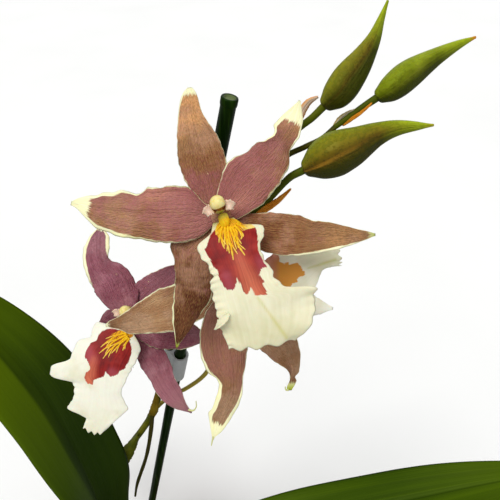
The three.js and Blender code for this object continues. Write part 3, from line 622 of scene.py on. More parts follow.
bulb_finish.surface(Base_Color=colour, Roughness=0.42 + is_paper * 0.35 + is_root * 0.3,
                    Subsurface_Weight=0.08, Subsurface_Scale=0.003)
print(len(bulb_finish.tree.nodes), "nodes in the bulb finish")

# %% [markdown]
# Each bulb is a fat tube, flattened and tapered, with a sheath at both of its narrow sides. The rhizome
# runs through the feet of all four. One root leaves each bulb, crosses the bark and hangs over the rim.

# %% Bulbs, rhizome, sheaths and roots
RIM_OVER = 116
ROOTS = [
    dict(foot=(-43, 1), azimuth=205, reach=30, drop=-26),
    dict(foot=(-22, -8), azimuth=225, reach=49, drop=-18),
    dict(foot=(8, -10), azimuth=282, reach=59, drop=-34),
    dict(foot=(18, 20), azimuth=12, reach=48, drop=-22),
]


def wrinkled(s, a):
    lengthwise = np.cos(22 * a + 3 * np.sin(5 * s))
    rings = np.sin(40 * s + 2 * np.cos(a))
    return 0.006 * lengthwise + 0.008 * rings * s


bm = start_mesh("paper", "root", "tip")
plain = dict(paper=0, root=0, tip=0)
for k, bulb in enumerate(BULBS.values()):
    (x, y), (lean_x, lean_y), size, top = bulb["place"], bulb["lean"], bulb["size"], bulb["top"]
    spine = [(x, y, BULB_FOOT), (x + lean_x * 0.4, y + lean_y * 0.4, (BULB_FOOT + top) / 2),
             (x + lean_x, y + lean_y, top)]
    add_tube(bm, spine, [part * size for part in (0.35, 0.78, 1, 1, 0.86, 0.6, 0.26)], sides=64, steps=60,
             flat=BULB_FLATNESS, ribs=6, rib_height=0.028, paint=lambda s, a, at: plain, bump=wrinkled)
    for hand in (-1, 1):
        edge = hand * size
        sheath = dict(
            spine=[(x, y + edge * 0.86, 99), (x, y + edge * 1.06, 116), (x, y + edge * 1.04, 132),
                   (x + 1, y + edge * 1.0, 146 - 5 * k)],
            across=(-hand, 0, 0), left=[part * size for part in (0.42, 0.6, 0.62, 0.5, 0.3, 0.03)],
            cup=[0.45 * size, 0.5 * size, 0.42 * size, 0.25 * size, 0.05 * size], frill=0.5, frills=5,
            nibble=0.06, seed=k + hand)
        add_blade(bm, sheath, rows=30, columns=14, thickness=0.5,
                  paint=lambda blade, s, v, at: dict(paper=1, root=0, tip=0))
through = [(*bulb["place"], 103) for bulb in BULBS.values()]
add_tube(bm, through, 4.5, sides=20, steps=60, reference=(0, 0, 1),
         paint=lambda s, a, at: dict(paper=0.8, root=0, tip=0),
         bump=lambda s, a: 0.08 * np.abs(np.sin(34 * s)) ** 3)
for root in ROOTS:
    (x, y), heading = root["foot"], math.radians(root["azimuth"])
    steps = [(0.02, RIM_OVER - 2.5), (0.35, RIM_OVER), (0.75, RIM_OVER + 1), (1.02, RIM_OVER - 5),
             (1.12, RIM_OVER + root["drop"])]
    far = root["reach"]
    line = [(x + part * far * math.cos(heading), y + part * far * math.sin(heading), height)
            for part, height in steps]
    add_tube(bm, line, [2, 2.1, 1.9, 1.8, 1.7, 1], sides=14, steps=50, reference=(0, 0, 1), rounding=2.2,
             paint=lambda s, a, at: dict(paper=0, root=np.clip((s - 0.04) * 40, 0, 1),
                                         tip=np.clip((s - 0.88) / 0.08, 0, 1)),
             bump=lambda s, a: 0.05 * np.sin(25 * s + a) + 0.03 * np.sin(61 * s - 2 * a))
finish_piece(bm, "pseudobulbs_and_roots", bulb_finish.material, "pseudobulb", "pseudobulbs")

# %% [markdown]
# The strap leaves rise folded from the bulbs, open out and arch. Each is one blade with a channel along
# its midrib and a gentle wave at the rim. The finish draws many fine parallel veins with the blade's
# own map, which runs from foot to tip. Painted numbers add the dry tip, painted light on the sunlit
# side and painted shade along the midrib fold.

# %% Leaf finish
leaf_finish = Finish("strap_leaf")
veins = leaf_finish.noise(leaf_finish.across_blade(1.2, 46), 1, 2)
broad = leaf_finish.noise(leaf_finish.across_blade(1.4, 3), 1.2, 3)
mottle = leaf_finish.noise(leaf_finish.where(), 90, 4)
green = leaf_finish.ramp(broad, (0.3, rgb(34, 54, 1)), (0.5, rgb(46, 68, 1)), (0.72, rgb(62, 84, 3)))
green = leaf_finish.coats(
    green,
    (leaf_finish.step(veins, 0.5, 0.68) * 0.14, rgb(88, 112, 8)),
    (leaf_finish.step(mottle, 0.62, 0.8) * 0.3, rgb(32, 48, 3)),
    (leaf_finish.painted("dry"), rgb(134, 104, 58)),
    # painted light on the sunlit side, then painted shade in the midrib fold
    (leaf_finish.painted("light"), rgb(98, 122, 3)),
    (leaf_finish.painted("crease"), rgb(20, 40, 1)),
)
leaf_finish.bumped(veins + mottle * 0.2, 0.0003, 0.55)
leaf_finish.surface(Base_Color=green, Roughness=0.42 + mottle * 0.12, Specular_IOR_Level=0.14,
                    Specular_Tint=(0.8, 1, 0.25, 1))
print(len(leaf_finish.tree.nodes), "nodes in the leaf finish")

# %% [markdown]
# A leaf is given by its foot, the direction that it grows in, its greatest half width and the profile
# of its midrib, as steps out and up. The first one is the tall leaf, which has an outline, a fold and a
# twist of its own and drifts to the side as it rises.

# %% Leaves
LEAF_OUTLINE = [0.24, 0.42, 0.66, 0.86, 0.98, 1, 0.93, 0.74, 0.44, 0.015]
LEAF_FOLD = [72, 58, 36, 22, 15, 12, 10, 10, 12, 14]
LEAVES = [
    dict(
        base=(-22, -8, 168.5), azimuth=90, half_width=23.5, turn=75,
        outline=[0.22, 0.46, 0.76, 0.94, 1, 0.95, 0.9, 0.82, 0.55, 0.015],
        fold=[72, 60, 46, 36, 28, 20, 15, 12, 12, 14],
        twist=[0, -6, -8, 0, 16, 30, 38, 40],
        profile=[(0, 0), (-3, 55), (-3, 105), (-2, 140), (1, 191), (2, 243), (1, 288), (0, 330)],
        drift=[0, 1, 4, 7.5, 6, 3, -6, -22],
    ),
    dict(base=(8, -10, 165.6), azimuth=3, half_width=21,
         profile=[(0, 0), (18, 38), (54, 67), (101, 89), (163, 113), (225, 137), (275, 152)]),
    dict(base=(-28, -30, 96), azimuth=252, half_width=20,
         profile=[(0, 0), (10, 55), (34, 115), (76, 158), (128, 172), (172, 158)]),
    dict(base=(24, -24, 96), azimuth=309, half_width=19,
         profile=[(0, 0), (9, 50), (32, 108), (74, 150), (124, 166), (170, 156)]),
    dict(base=(-44, 1, 158.4), azimuth=184, half_width=19,
         profile=[(0, 0), (12, 36), (40, 68), (84, 84), (132, 74), (170, 48)]),
    dict(base=(19, 22, 161), azimuth=346, half_width=17,
         profile=[(0, 0), (7, 11), (32, 3), (74, -30), (104, -70), (112, -100)]),
    dict(base=(-42, 27, 96), azimuth=126, half_width=16,
         profile=[(0, 0), (8, 38), (30, 66), (68, 72), (106, 50), (134, 18)]),
    dict(base=(-4, -36, 96), azimuth=276, half_width=12,
         profile=[(0, 0), (2, 40), (7, 80), (18, 122), (36, 156)]),
]


def leaf_blade(leaf, seed):
    heading = math.radians(leaf["azimuth"])
    facing = math.radians(leaf["azimuth"] + leaf.get("turn", 0))
    drift = leaf.get("drift", [0] * len(leaf["profile"]))
    x, y, z = leaf["base"]
    return dict(
        spine=[(x + out * math.cos(heading) + side, y + out * math.sin(heading), z + up)
               for (out, up), side in zip(leaf["profile"], drift)],
        across=(math.sin(facing), -math.cos(facing), 0),
        left=[part * leaf["half_width"] for part in leaf.get("outline", LEAF_OUTLINE)],
        fold=leaf.get("fold", LEAF_FOLD), twist=leaf.get("twist", 0),
        wave=[0, 0.3, 0.9, 1.2, 1.2, 1, 0.6, 0.2], waves=2.5,
        groove=0.5, veins=0.07, vein_count=14, seed=seed,
    )


TALL_LEAF, TALL_FOLD = 1, -0.2


def leaf_paint(blade, s, v, places):
    """The dry tip, painted light on the sunlit half and painted shade in the fold; the tall leaf's fold lies
    off its middle.
    """
    dry = np.clip((s - 0.975) / 0.02, 0, 1) * 0.8
    light = np.clip(0.25 + 0.3 * np.sin(5 * s + blade["seed"]), 0, 1)
    tall = blade["seed"] == TALL_LEAF
    fold_line = TALL_FOLD if tall else 0
    # painted shade: a dark line along the midrib fold
    crease = 0.55 * np.exp(-((v - fold_line) / 0.03) ** 2)
    if tall:
        left = np.clip((fold_line - v) / 0.06, 0, 1)
        light = left * np.clip((s - 0.45) * 2.2, 0, 0.75) + (1 - left) * np.clip((s - 0.75) * 3, 0, 0.35)
        # more painted shade over the lower part of the tall leaf, on the far side of its fold
        crease = np.maximum(crease, 0.7 * (1 - left) * np.clip((0.84 - s) * 4, 0, 1))
    return dict(seed=blade["seed"] * 3.7, dry=dry, light=light, crease=crease)


for k, leaf in enumerate(LEAVES, start=1):
    bm = start_mesh("seed", "dry", "light", "crease")
    add_blade(bm, leaf_blade(leaf, k), rows=130, columns=28, thickness=1.1, paint=leaf_paint)
    finish_piece(bm, f"strap_leaf_{k}", leaf_finish.material, "leaf", f"leaf_{k}")

# %% [markdown]
# The cane is a dark green, glossy plant stake with a rolled lip round its cut top. It is a section
# spun round Z and then turned into the line that it leans along.

# %% Cane
cane_finish = Finish("green_stake")
spot = cane_finish.where()
grain = cane_finish.noise(cane_finish.stretched(spot, 1, 1, 0.05), 900, 3)
scuffs = cane_finish.noise(spot, 240, 5, 0.7)
colour = cane_finish.ramp(grain, (0.35, rgb(4, 16, 1)), (0.55, rgb(12, 32, 2)), (0.75, rgb(30, 54, 3)))
colour = cane_finish.coats(
    colour,
    (cane_finish.step(scuffs, 0.68, 0.76) * 0.25, rgb(70, 84, 48)),
    (cane_finish.painted("cut"), rgb(98, 110, 70)),
)
cane_finish.bumped(grain, 0.0003, 0.5)
cane_finish.surface(Base_Color=colour, Roughness=0.26 + scuffs * 0.15, Specular_IOR_Level=0.1,
                    Specular_Tint=(0.6, 1, 0.4, 1))

cane_line = Vector(CANE_TOP) - Vector(CANE_FOOT)
length = cane_line.length
R = CANE_RADIUS
section = [(0, 0), (R - 0.5, 0), (R, 0.8)]
section += [(R + 0.04 * math.sin(k), 12 + 12 * k) for k in range(40)]
section += [(R, length - 3.2), (R + 0.12, length - 2.8), (R + 0.25, length - 2.2), (R + 0.25, length - 0.5),
            (R + 0.12, length - 0.1), (R - 0.1, length), (R - 0.5, length - 0.05), (R - 0.8, length - 0.2),
            (R - 0.85, length - 0.6), (R - 1.0, length - 0.75), (0, length - 0.7)]
bm = start_mesh("cut")
spin_section(bm, section, 40)
for vert in bm.verts:
    if vert.co.z > (length - 0.9) * MM and vert.co.xy.length < (R - 0.6) * MM:
        vert[bm.verts.layers.float["cut"]] = 1
lean = Vector((0, 0, 1)).rotation_difference(cane_line).to_matrix().to_4x4()
finish_piece(bm, "plant_cane", cane_finish.material, "cane", "cane", sharp=60,
             place=Matrix.Translation(Vector(CANE_FOOT) * MM) @ lean)

# %% [markdown]
# A clear plastic clip holds the spike to the cane. Its outline is two rings side by side, drawn as
# three loops of edges, filled, drawn out to its length, and its edges rounded. The plastic is pale
# grey and hazy, and lets only a part of the light through.

# %% Clip
clip_finish = Finish("clear_grey_plastic")
spot = clip_finish.where()
haze = clip_finish.noise(spot, 300, 4)
colour = clip_finish.mix(haze, rgb(196, 198, 198), rgb(226, 228, 227))
clip_finish.bumped(clip_finish.noise(spot, 500), 0.0002, 0.3)
clip_finish.surface(Base_Color=colour, Roughness=0.24 + haze * 0.2, Transmission_Weight=0.3, IOR=1.46)

CLIP_LENGTH, CLIP_WALL = 18, 1.1
part = (405 - CANE_FOOT[2]) / cane_line.z
clip_at = Vector(CANE_FOOT) + cane_line * part
axis = cane_line.normalized()
to_spike = Vector((35.4, 17.4, clip_at.z)) - clip_at
apart = to_spike.length
to_spike = (to_spike - axis * to_spike.dot(axis)).normalized()
cane_ring, spike_ring = R + 0.45, 2.5


def loop_of(bm, points):
    verts = [bm.verts.new((x * MM, y * MM, -CLIP_LENGTH / 2 * MM)) for x, y in points]
    return [bm.edges.new(pair) for pair in zip(verts, verts[1:] + verts[:1])]


def arc(x, radius, start, end, steps):
    turns = [math.radians(start + (end - start) * k / steps) for k in range(steps + 1)]
    return [(x + radius * math.cos(turn), radius * math.sin(turn)) for turn in turns]


bm = start_mesh()
outer = arc(0, cane_ring + CLIP_WALL, 60, 300, 36) + arc(apart, spike_ring + CLIP_WALL, -120, 120, 30)
holes = [arc(0, cane_ring, 0, 352.5, 47), arc(apart, spike_ring, 0, 350, 35)]
loops = [edge for points in (outer, *holes) for edge in loop_of(bm, points)]
bmesh.ops.triangle_fill(bm, use_beauty=True, edges=loops)
drawn = bmesh.ops.extrude_face_region(bm, geom=bm.faces[:])["geom"]
raised = [vert for vert in drawn if isinstance(vert, bmesh.types.BMVert)]
bmesh.ops.translate(bm, verts=raised, vec=(0, 0, CLIP_LENGTH * MM))
close_up(bm)
rims = [edge for edge in bm.edges if len(edge.link_faces) == 2 and edge.calc_face_angle(0) > 1.2]
bmesh.ops.bevel(bm, geom=rims, offset=0.25 * MM, offset_type="OFFSET", affect="EDGES", segments=2,
                profile=0.5, material=-1)
frame_matrix = Matrix([to_spike, axis.cross(to_spike), axis]).transposed().to_4x4()
finish_piece(bm, "spike_clip", clip_finish.material, "clip", "cane_clip", sharp=50,
             place=Matrix.Translation(clip_at * MM) @ frame_matrix)

# %% [markdown]
# Each bloom has a frame of its own: Y along its top, Z out of its face, the middle at zero. Its petals
# and sepals have the middle lines of the solids under them. The few that have no outline of their own
# further down also have the half widths of the solids, to the left and to the right.

# %% Bloom measures
TIP = 0.35
BLOOMS = [
    dict(
        name="bloom_front", centre=[67.8, -10.6, 514.5],
        tepals=dict(
            dorsal=dict(
                spine=[[-0.6, 0, -1.4], [-2.5, 8.2, -0.9], [-6, 20.3, 0.4], [-8.9, 31, 1.4],
                       [-9.8, 39.6, 1.6]],
                cup=[0, 0.5, 0.8, 0.4, 0], wave=[0, 0.3, 0.5, 0.7, 0.2],
            ),
            leftPetal=dict(
                spine=[
                    [-0.5, 0.6, 0], [-11.4, 0.3, 0.8], [-22.5, 0.3, 1.1],
                    [-33.6, 1.3, 0.6], [-41.5, 2.8, 0], [-47.8, 4.4, -1],
                ],
                cup=[0, -0.8, -1, -0.6, 0], wave=[0, 0.7, 1.1, 1.2, 0.8, 0],
            ),
            rightPetal=dict(
                spine=[
                    [0.4, 0.8, 0], [7.9, 11.1, 0.8], [12.7, 16.6, 1],
                    [17.7, 22, 0.6], [22.4, 29.4, 0], [25, 37, -1],
                ],
                cup=[0, -0.7, -0.9, -0.5, 0], wave=[0, 0.6, 1, 1.2, 1, 0],
            ),
            rightSepal=dict(
                spine=[
                    [0.4, -0.6, -1.6], [11.1, -4.7, -2], [20.3, -6, -1.8],
                    [28.8, -6.5, -1.2], [37.7, -6.3, -1], [48.4, -6, -2],
                ],
                cup=[0, 0.5, 0.6, 0.3, 0], wave=[0, 0.4, 0.8, 0.8, 0.4, 0],
            ),
            leftSepal=dict(
                spine=[
                    [-0.4, -0.6, -1.6], [-7.9, -12.7, -2.4], [-8.5, -22.8, -4],
                    [-11.1, -33.6, -6], [-14.9, -42.4, -8],
                ],
                cup=[0, -0.6, -0.6, 0], wave=[0, 0.6, 0.8, 0.6, 0],
            ),
        ),
        lip=dict(
            spine=[
                [1.2, -1.4, 2.7], [3.2, -8, 5.4], [6.2, -16.6, 7.6],
                [9, -26.5, 7.6], [10.8, -34.5, 6], [11.6, -41, 4.2],
            ],
            round=0.8, curl=[(2.9, -29.6, 7.4), (1.6, -31.2, 8.2), (0.2, -33, 8), (-1.2, -34.8, 7)],
        ),
    ),
    dict(
        name="bloom_left", centre=[26.9, -0.5, 456.6],
        tepals=dict(
            dorsal=dict(
                spine=[[0.4, 0.6, -1.4], [7.8, 8.6, -0.9], [15.5, 15.2, 0], [22.5, 22, 0.4]],
                left=[2.8, 5.6, 6.6, 5.6, 3.6, TIP], cup=[0, 0.5, 0.6, 0], wave=[0, 0.4, 0.7, 0.4, 0],
            ),
            leftPetal=dict(
                spine=[
                    [-0.4, 0.8, 0], [-3.7, 7.4, 0.8], [-5.7, 14, 1.2],
                    [-12, 23.8, 0.6], [-12.7, 30, 0], [-12.3, 34.5, -1],
                ],
                cup=[0, -0.8, -1, -0.5, 0], wave=[0, 0.6, 1, 0.9, 0.4, 0],
            ),
            rightPetal=dict(
                spine=[[0.6, -0.4, 0], [9.8, -3.7, 0.8], [20.1, -7, 1], [28, -8.4, 0], [34, -9.2, -1]],
                left=[3.4, 7.6, 8.4, 7, 4.4, TIP],
                cup=[0, -0.8, -1, -0.5, 0], wave=[0, 0.6, 1, 0.9, 0.4, 0],
            ),
            rightSepal=dict(
                spine=[
                    [0.6, -1, -1.6], [6.6, -11.9, -2], [11.5, -20.5, -1.6],
                    [15.2, -28.3, -1.2], [20.5, -35.7, -1], [26, -40.2, -1.4],
                ],
                left=[2.8, 5, 5.8, 5.2, 4, TIP],
                cup=[0, 0.4, 0.5, 0.3, 0], wave=[0, 0.4, 0.7, 0.7, 0.3, 0],
            ),
            leftSepal=dict(
                spine=[
                    [-0.8, -0.4, -1.6], [-8.2, -2.9, -2], [-13.9, -9, -2.6],
                    [-19, -17.2, -3.4], [-24, -26, -4],
                ],
                cup=[0, 0.4, 0.5, 0.3, 0], wave=[0, 0.4, 0.7, 0.6, 0.3, 0],
            ),
        ),
        lip=dict(
            spine=[
                [-1, -2.2, 2.7], [-5.4, -8.6, 5], [-9, -15, 6.9], [-10, -21.5, 7.3],
                [-9.9, -28, 6.9], [-10.4, -34.5, 6], [-11.4, -41, 4.7], [-12.8, -47, 3.4],
            ],
            round=1.5,
        ),
    ),
    dict(
        name="bloom_back", centre=[69.6, -8.4, 478.4],
        tepals=dict(
            dorsal=dict(
                spine=[
                    [-0.8, 0, -1.2], [-14.8, -3.9, -0.4], [-21.8, -6.1, 0.6],
                    [-33.2, -9.6, 1.8], [-45, -12.2, 2.6],
                ],
                cup=[0, 0.4, 0.6, 0.3, 0], wave=[0, 0.4, 0.7, 0.8, 0.3, 0],
            ),
            leftPetal=dict(
                spine=[
                    [-0.4, -0.8, 0], [-2.2, -12.2, 0.6], [-1.8, -21.4, 1.2], [0.4, -32.8, 0.8],
                    [-0.4, -38.7, 0.2], [-3, -44.6, -0.6], [-6.4, -55, -1.6],
                ],
                cup=[0, -0.8, -1, -0.5, 0], wave=[0, 0.6, 1, 1.1, 0.8, 0],
            ),
            rightPetal=dict(
                spine=[[-0.2, 0.8, 0], [-5.8, 8, 1.8], [-11, 15, 4.2], [-15.6, 22, 6.6], [-19, 27.6, 7.6]],
                left=[3.2, 5.6, 6.2, 5.6, 3.4, TIP],
                cup=[0, -0.6, -0.8, -0.4, 0], wave=[0, 0.5, 0.8, 0.7, 0.3, 0],
            ),
            rightSepal=dict(
                spine=[[0.2, 0.8, -1.6], [-0.6, 8, -0.4], [-2.4, 15, 2.4], [-4.6, 21.5, 6.2],
                       [-6.6, 26, 9.4]],
                left=[2.6, 4.2, 4.6, 4.2, 2.6, TIP],
                cup=[0, 0.4, 0.5, 0.3, 0], wave=[0, 0.3, 0.5, 0.4, 0.2, 0],
            ),
            leftSepal=dict(
                spine=[
                    [0.6, -0.6, -1.6], [9.2, -11, -2], [16.6, -19.6, -1.8],
                    [22.1, -26.9, -1.6], [22.5, -36.5, -1.2],
                ],
                cup=[0, 0.4, 0.5, 0.3, 0], wave=[0, 0.4, 0.7, 0.7, 0.3, 0],
            ),
        ),
        lip=dict(
            spine=[
                [1.8, 0.4, 2.7], [9, 2.6, 5], [18.4, 5.6, 6.4],
                [27.6, 8.4, 6], [34.6, 11.2, 4.8], [40.2, 11.8, 3.6],
            ],
            left=[2, 7.6, 8.2, 7.8, 8.4, 9, 9, 8.6, 7.4, 6, 5],
            right=[2, 9, 10.4, 9, 9, 10, 12.5, 6.3, 2.8, 2.2, 2],
            round=0.6, lobe=[(23, -2.6, 3.4), (30, -4.8, 3.4), (37.6, -5.8, 2.4)],
        ),
    ),
]

LIP_CUP = [0, -1.2, -1, -0.7, -0.8, -0.9, -0.9, -0.8, -0.6, -0.4, -0.2]
LIP_WAVE = [0, 0.4, 0.5, 0.4, 0.4, 0.5, 0.6, 0.7, 0.8, 0.8, 0.6]
HUB_BACK, HUB_FRONT, HUB_RADIUS = -5.4, 1.5, 4.6
OVARY_GAP = 0.45
FACE_TILT = math.radians(50)


def bloom_place(bloom):
    return Matrix.Translation(Vector(bloom["centre"]) * MM) @ Matrix.Rotation(FACE_TILT, 4, "X")


def in_bloom(index, point):
    return list(bloom_place(BLOOMS[index]) @ (Vector(point) * MM) / MM)


print(len(BLOOMS), "blooms with", sum(len(bloom["tepals"]) for bloom in BLOOMS), "petals and sepals")

# %% [markdown]
# The rims of most petals and of two lips are drawn as outlines in millimetres, as a grower would
# draw them from a real flower, with the flared cream tips and the small notches. Each row of the
# blade reaches out from its middle line to this rim.

# %% Outlines
OUTLINES = {
    "bloom_front": {
        "dorsal": [
            (-10.4, 9.5), (-11.4, 11.1), (-12.6, 13.9), (-13.6, 18.3), (-13.7, 22.5), (-13.6, 27.8),
            (-13.3, 32.9), (-12.6, 36.4), (-11.7, 38.6), (-10.8, 39.7), (-9.5, 40.4), (-8.2, 39.6),
            (-7.3, 37.7), (-6.6, 35.1), (-5.7, 32), (-3.5, 28.8), (-1.6, 26.3), (0.2, 22.5), (1.6, 18.3),
            (2.5, 12.6), (2.5, 5), (1.9, -1), (-2.8, -1), (-7.9, 5),
        ],
        "leftPetal": [
            (-4.7, 3.5), (-7.9, 6.9), (-9.2, 8.8), (-10.8, 9.5), (-14.6, 9.8), (-18, 9.2), (-21.5, 8.8),
            (-22.8, 9), (-23.3, 10), (-23.7, 8.5), (-26.3, 6.9), (-29.1, 7.9), (-31, 8.4), (-33.9, 7.3),
            (-37.3, 7.6), (-39.2, 6.6), (-42.4, 6.6), (-45.9, 5.7), (-48.6, 3.9), (-45.9, 2.5),
            (-42.4, -1.3), (-40.2, -3.8), (-35.5, -5.4), (-31.7, -6.7), (-26.9, -7.3), (-21.8, -8.1),
            (-18, -8.6), (-13.3, -8.6), (-8.2, -7.6), (-5.4, -6), (-2.8, -3.5), (1, -2.6), (1, 3.1),
        ],
        "rightPetal": [
            (25.3, 37.2), (26.2, 30.4), (24.7, 24.4), (21.5, 20.4), (22.3, 16.4), (18.7, 10.4), (16.5, 7.3),
            (13.3, 3.8), (10.1, 1.6), (6, -0.7), (1.6, -2.9), (-2.8, 1.2), (-0.6, 10.1), (0.3, 13.6),
            (1.6, 16.4), (4.8, 19), (7.6, 19.9), (9.8, 22.3), (11.7, 23.7), (13.3, 23.4), (16.5, 25.3),
            (17.1, 27.5), (16.5, 28.8), (18.7, 31.6), (21.9, 34.2),
        ],
        "rightSepal": [
            (0.2, 1.4), (4.7, 0.9), (9.8, 1), (15, 1.2), (20.4, 1), (24.2, 0.5), (26.8, -0.4), (29.3, -1.4),
            (33.8, -1.8), (39.6, -3), (43.6, -4.1), (46.9, -4.7), (50.1, -5.7), (46.9, -7.3), (43.4, -8.6),
            (39.6, -9.8), (34.8, -11.1), (29.3, -12.1), (24.2, -12.7), (20.4, -12.7), (15, -11.7),
            (9.2, -9.8), (4.7, -7.6), (0.2, -3.8),
        ],
        "leftSepal": [
            (0.1, -1.7), (-5.4, -3.6), (-11.6, -6.2), (-17.4, -8.5), (-16.2, -11.1), (-15.2, -13.9),
            (-15, -19.6), (-15.9, -24.7), (-16.2, -29.6), (-16.6, -34.7), (-16, -38.4), (-15.3, -43.8),
            (-13.9, -41.5), (-10.2, -36.6), (-6.5, -31), (-3.8, -27.4), (-2.8, -24.3), (-2.5, -20.5),
            (-1.9, -14.7), (0.1, -9.2), (1.4, -4.9),
        ],
        "lip": [
            (-0.5, -0.5), (-2.3, -2.3), (-3, -5.7), (-4.7, -7.2), (-7.4, -8.7), (-7.1, -11.1),
            (-5.9, -12.9), (-3.2, -15.3), (-3.5, -16.8), (-2, -18.6), (-2.7, -19.9), (-2.3, -24.1),
            (-2, -26.5), (-0.6, -29.7), (-0.2, -31.9), (-0.9, -34.4), (0.5, -35.6), (1.4, -38.2),
            (2.4, -40.4), (3.2, -43.6), (22.4, -43.6), (23.4, -39), (26.4, -36), (27.9, -33.8),
            (28.8, -31.4), (29, -26), (29.7, -23.4), (28.9, -21.1), (25.5, -21.8), (22.5, -22.3),
            (19.8, -22), (16.9, -19.6), (16.3, -16.8), (14, -14.4), (12.5, -11.4), (12.4, -8.7),
            (13.4, -5.7), (13.4, -3.2), (12.4, -1.4), (10.4, -2), (8.4, -2.9), (6.5, -2), (4.8, -1.1),
            (3.2, -0.2),
        ],
    },
    "bloom_left": {
        "leftPetal": [
            (-12.9, 36.1), (-16, 32.8), (-18.4, 28.3), (-18.6, 24.2), (-17.8, 19.7), (-15.6, 13.1),
            (-13.1, 9.4), (-9.8, 4.5), (-6.1, 1.6), (-0.8, -1.7), (3.3, 0.8), (4.3, 6.5), (4.7, 10.7),
            (2.1, 16), (0, 19.7), (-3.3, 21.9), (-7.2, 22.6), (-8.2, 24.2), (-7.4, 27.9), (-7.8, 32.8),
            (-10.2, 35.7),
        ],
        "leftSepal": [
            (-0.5, 1.4), (-4.2, 2.2), (-8.8, 2.6), (-11.3, 0.1), (-12.7, -3.2), (-14.6, -8.2), (-17.5, -14),
            (-21.2, -19.8), (-24.9, -26), (-21.2, -25.2), (-15.4, -18.5), (-9.6, -12.3), (-3, -6.1),
        ],
        "lip": [
            (4.7, 0), (1.6, -0.8), (-2.4, -3.2), (-6, -4), (-9.6, -1.3), (-12.6, -2.2), (-13.4, -6),
            (-13.4, -8.2), (-16.4, -7.1), (-18.6, -9.2), (-20.1, -12.7), (-21.4, -17), (-26.2, -17.3),
            (-29.3, -19.6), (-30.2, -22), (-29.4, -24.4), (-23.6, -24.1), (-20.1, -25.9), (-19.7, -30.2),
            (-21.8, -34.6), (-23.6, -36.4), (-22.7, -39), (-20.1, -40.7), (-17, -39.4), (-15.7, -41),
            (-17, -44.6), (-17.9, -48.5), (-9.6, -48.5), (-5.2, -43), (1.4, -37.2), (-0.4, -32.9),
            (-1.2, -30.2), (1, -24.1), (4.5, -18), (6.2, -12.7), (4.9, -9.2), (2.5, -6.6), (5.5, -3.2),
        ],
    },
    "bloom_back": {
        "dorsal": [
            (-5.4, 8.1), (-14.6, 5.2), (-20.5, 3), (-27.4, 0.6), (-33, -3.4), (-36.3, -5.8), (-41.1, -9.1),
            (-46.4, -11.5), (-43.9, -12.6), (-40.3, -13.3), (-36.3, -15.3), (-31.5, -15.1), (-26.7, -14.7),
            (-21.3, -14.7), (-14.6, -12), (-5.4, -7.3), (0.8, -2.9), (0.8, 2.6),
        ],
        "leftPetal": [
            (-2.9, 0.7), (-9.1, -7.3), (-11, -14), (-11.4, -20.2), (-9.9, -25.6), (-7.8, -30.3),
            (-5.5, -32), (-4, -33.8), (-4.4, -36.8), (-5.8, -40.4), (-6.3, -43), (-8.2, -44.6),
            (-7.8, -48.1), (-7.1, -52), (-6.6, -54.8), (-3.3, -52.2), (-0.1, -48.1), (3, -42.6),
            (4.8, -37.2), (4.6, -32.6), (5.7, -27.9), (6.5, -22.4), (6.3, -15.8), (5.2, -6.6), (2.3, 0.7),
        ],
        "leftSepal": [
            (2.2, 0.6), (5.9, -10.6), (10.8, -21.4), (15.6, -25.3), (21.1, -28.9), (22.7, -31.5),
            (21.9, -33.7), (20.8, -35.6), (21.8, -37.4), (23.8, -35.2), (25.3, -31.8), (26, -27.7),
            (26.2, -22.2), (24.9, -17.3), (21.5, -10.6), (14.8, -3.9), (5.5, 2.4),
        ],
    },
}
print(sum(len(rims) for rims in OUTLINES.values()), "outlines drawn")

# %% [markdown]
# The mauve petals are a ground of pink, brown and peach that changes along each one, clouded with
# paler patches and crossed by fine darker veins, with small pale flecks. Cream breaks in from the tips
# and along parts of the rims. The cream is painted as a smooth number and only the finish makes its
# edge ragged, by adding noise drawn out along the veins before it is cut off.

# %% Petal finish
def petal_finish(name, dark, brown, tan, peach, pink, gold, light):
    finish = Finish(name)
    fine = finish.noise(finish.across_blade(2.4, 34), 1, 3)
    vein = finish.noise(finish.across_blade(1.1, 52), 1, 2)
    ragged = finish.noise(finish.across_blade(6, 12), 1.6, 4, 0.6)
    cells = finish.node("TexVoronoi", {"voronoi_dimensions": "2D"},
                        {"Vector": finish.across_blade(30, 44), "Scale": 1, "Randomness": 0.9})
    cloud = finish.noise(finish.where(), 120, 4)
    pale = finish.noise(finish.where(), 210, 5, 0.62)
    hue = finish.painted("hue") + (cloud - 0.5) * 0.45 + (fine - 0.5) * 0.5
    ground = finish.ramp(hue, (0.05, dark), (0.35, brown), (0.62, tan), (0.95, peach))
    mist = finish.noise(finish.where(), 62, 3)
    blush = finish.painted("blush") + (pale - 0.5) * 1.1 + (fine - 0.5) * 0.7 + (0.5 - mist) * 0.9
    blush = finish.step(blush, 0.2, 0.9)
    spots = finish.noise(finish.across_blade(7, 7), 2.2, 2)
    ground = finish.coats(
        ground,
        (finish.step(mist + (pale - 0.5) * 0.5, 0.44, 0.62) * 0.6, light),
        (blush * 0.7, pink),
        (finish.step(vein, 0.48, 0.7) * 0.36, dark),
        (finish.step(cells + (fine - 0.5) * 0.6, 0.42, 0.12) * (0.34 - blush * 0.2), gold),
        (finish.step(spots, 0.73, 0.77) * 0.7 * finish.painted("fleck"), rgb(244, 214, 160)),
    )
    edge = finish.painted("cream") + (ragged - 0.5) * 0.6 * finish.painted("fray")
    cream = finish.step(edge, 0.44, 0.6)
    shade = finish.ramp(fine, (0.35, rgb(250, 245, 184)), (0.6, rgb(255, 253, 212)))
    shade = finish.mix(finish.painted("lime"), shade, rgb(176, 186, 60))
    colour = finish.mix(cream, ground, shade)
    finish.bumped((vein + fine * 0.5 - cells * 1.2) * (1 - cream * 0.85), 0.0003, 0.9)
    return finish.surface(Base_Color=colour, Roughness=0.46 + fine * 0.15, Subsurface_Weight=0.06,
                          Subsurface_Scale=0.001, Specular_IOR_Level=0.18, Specular_Tint=(1, 0.9, 0.7, 1))


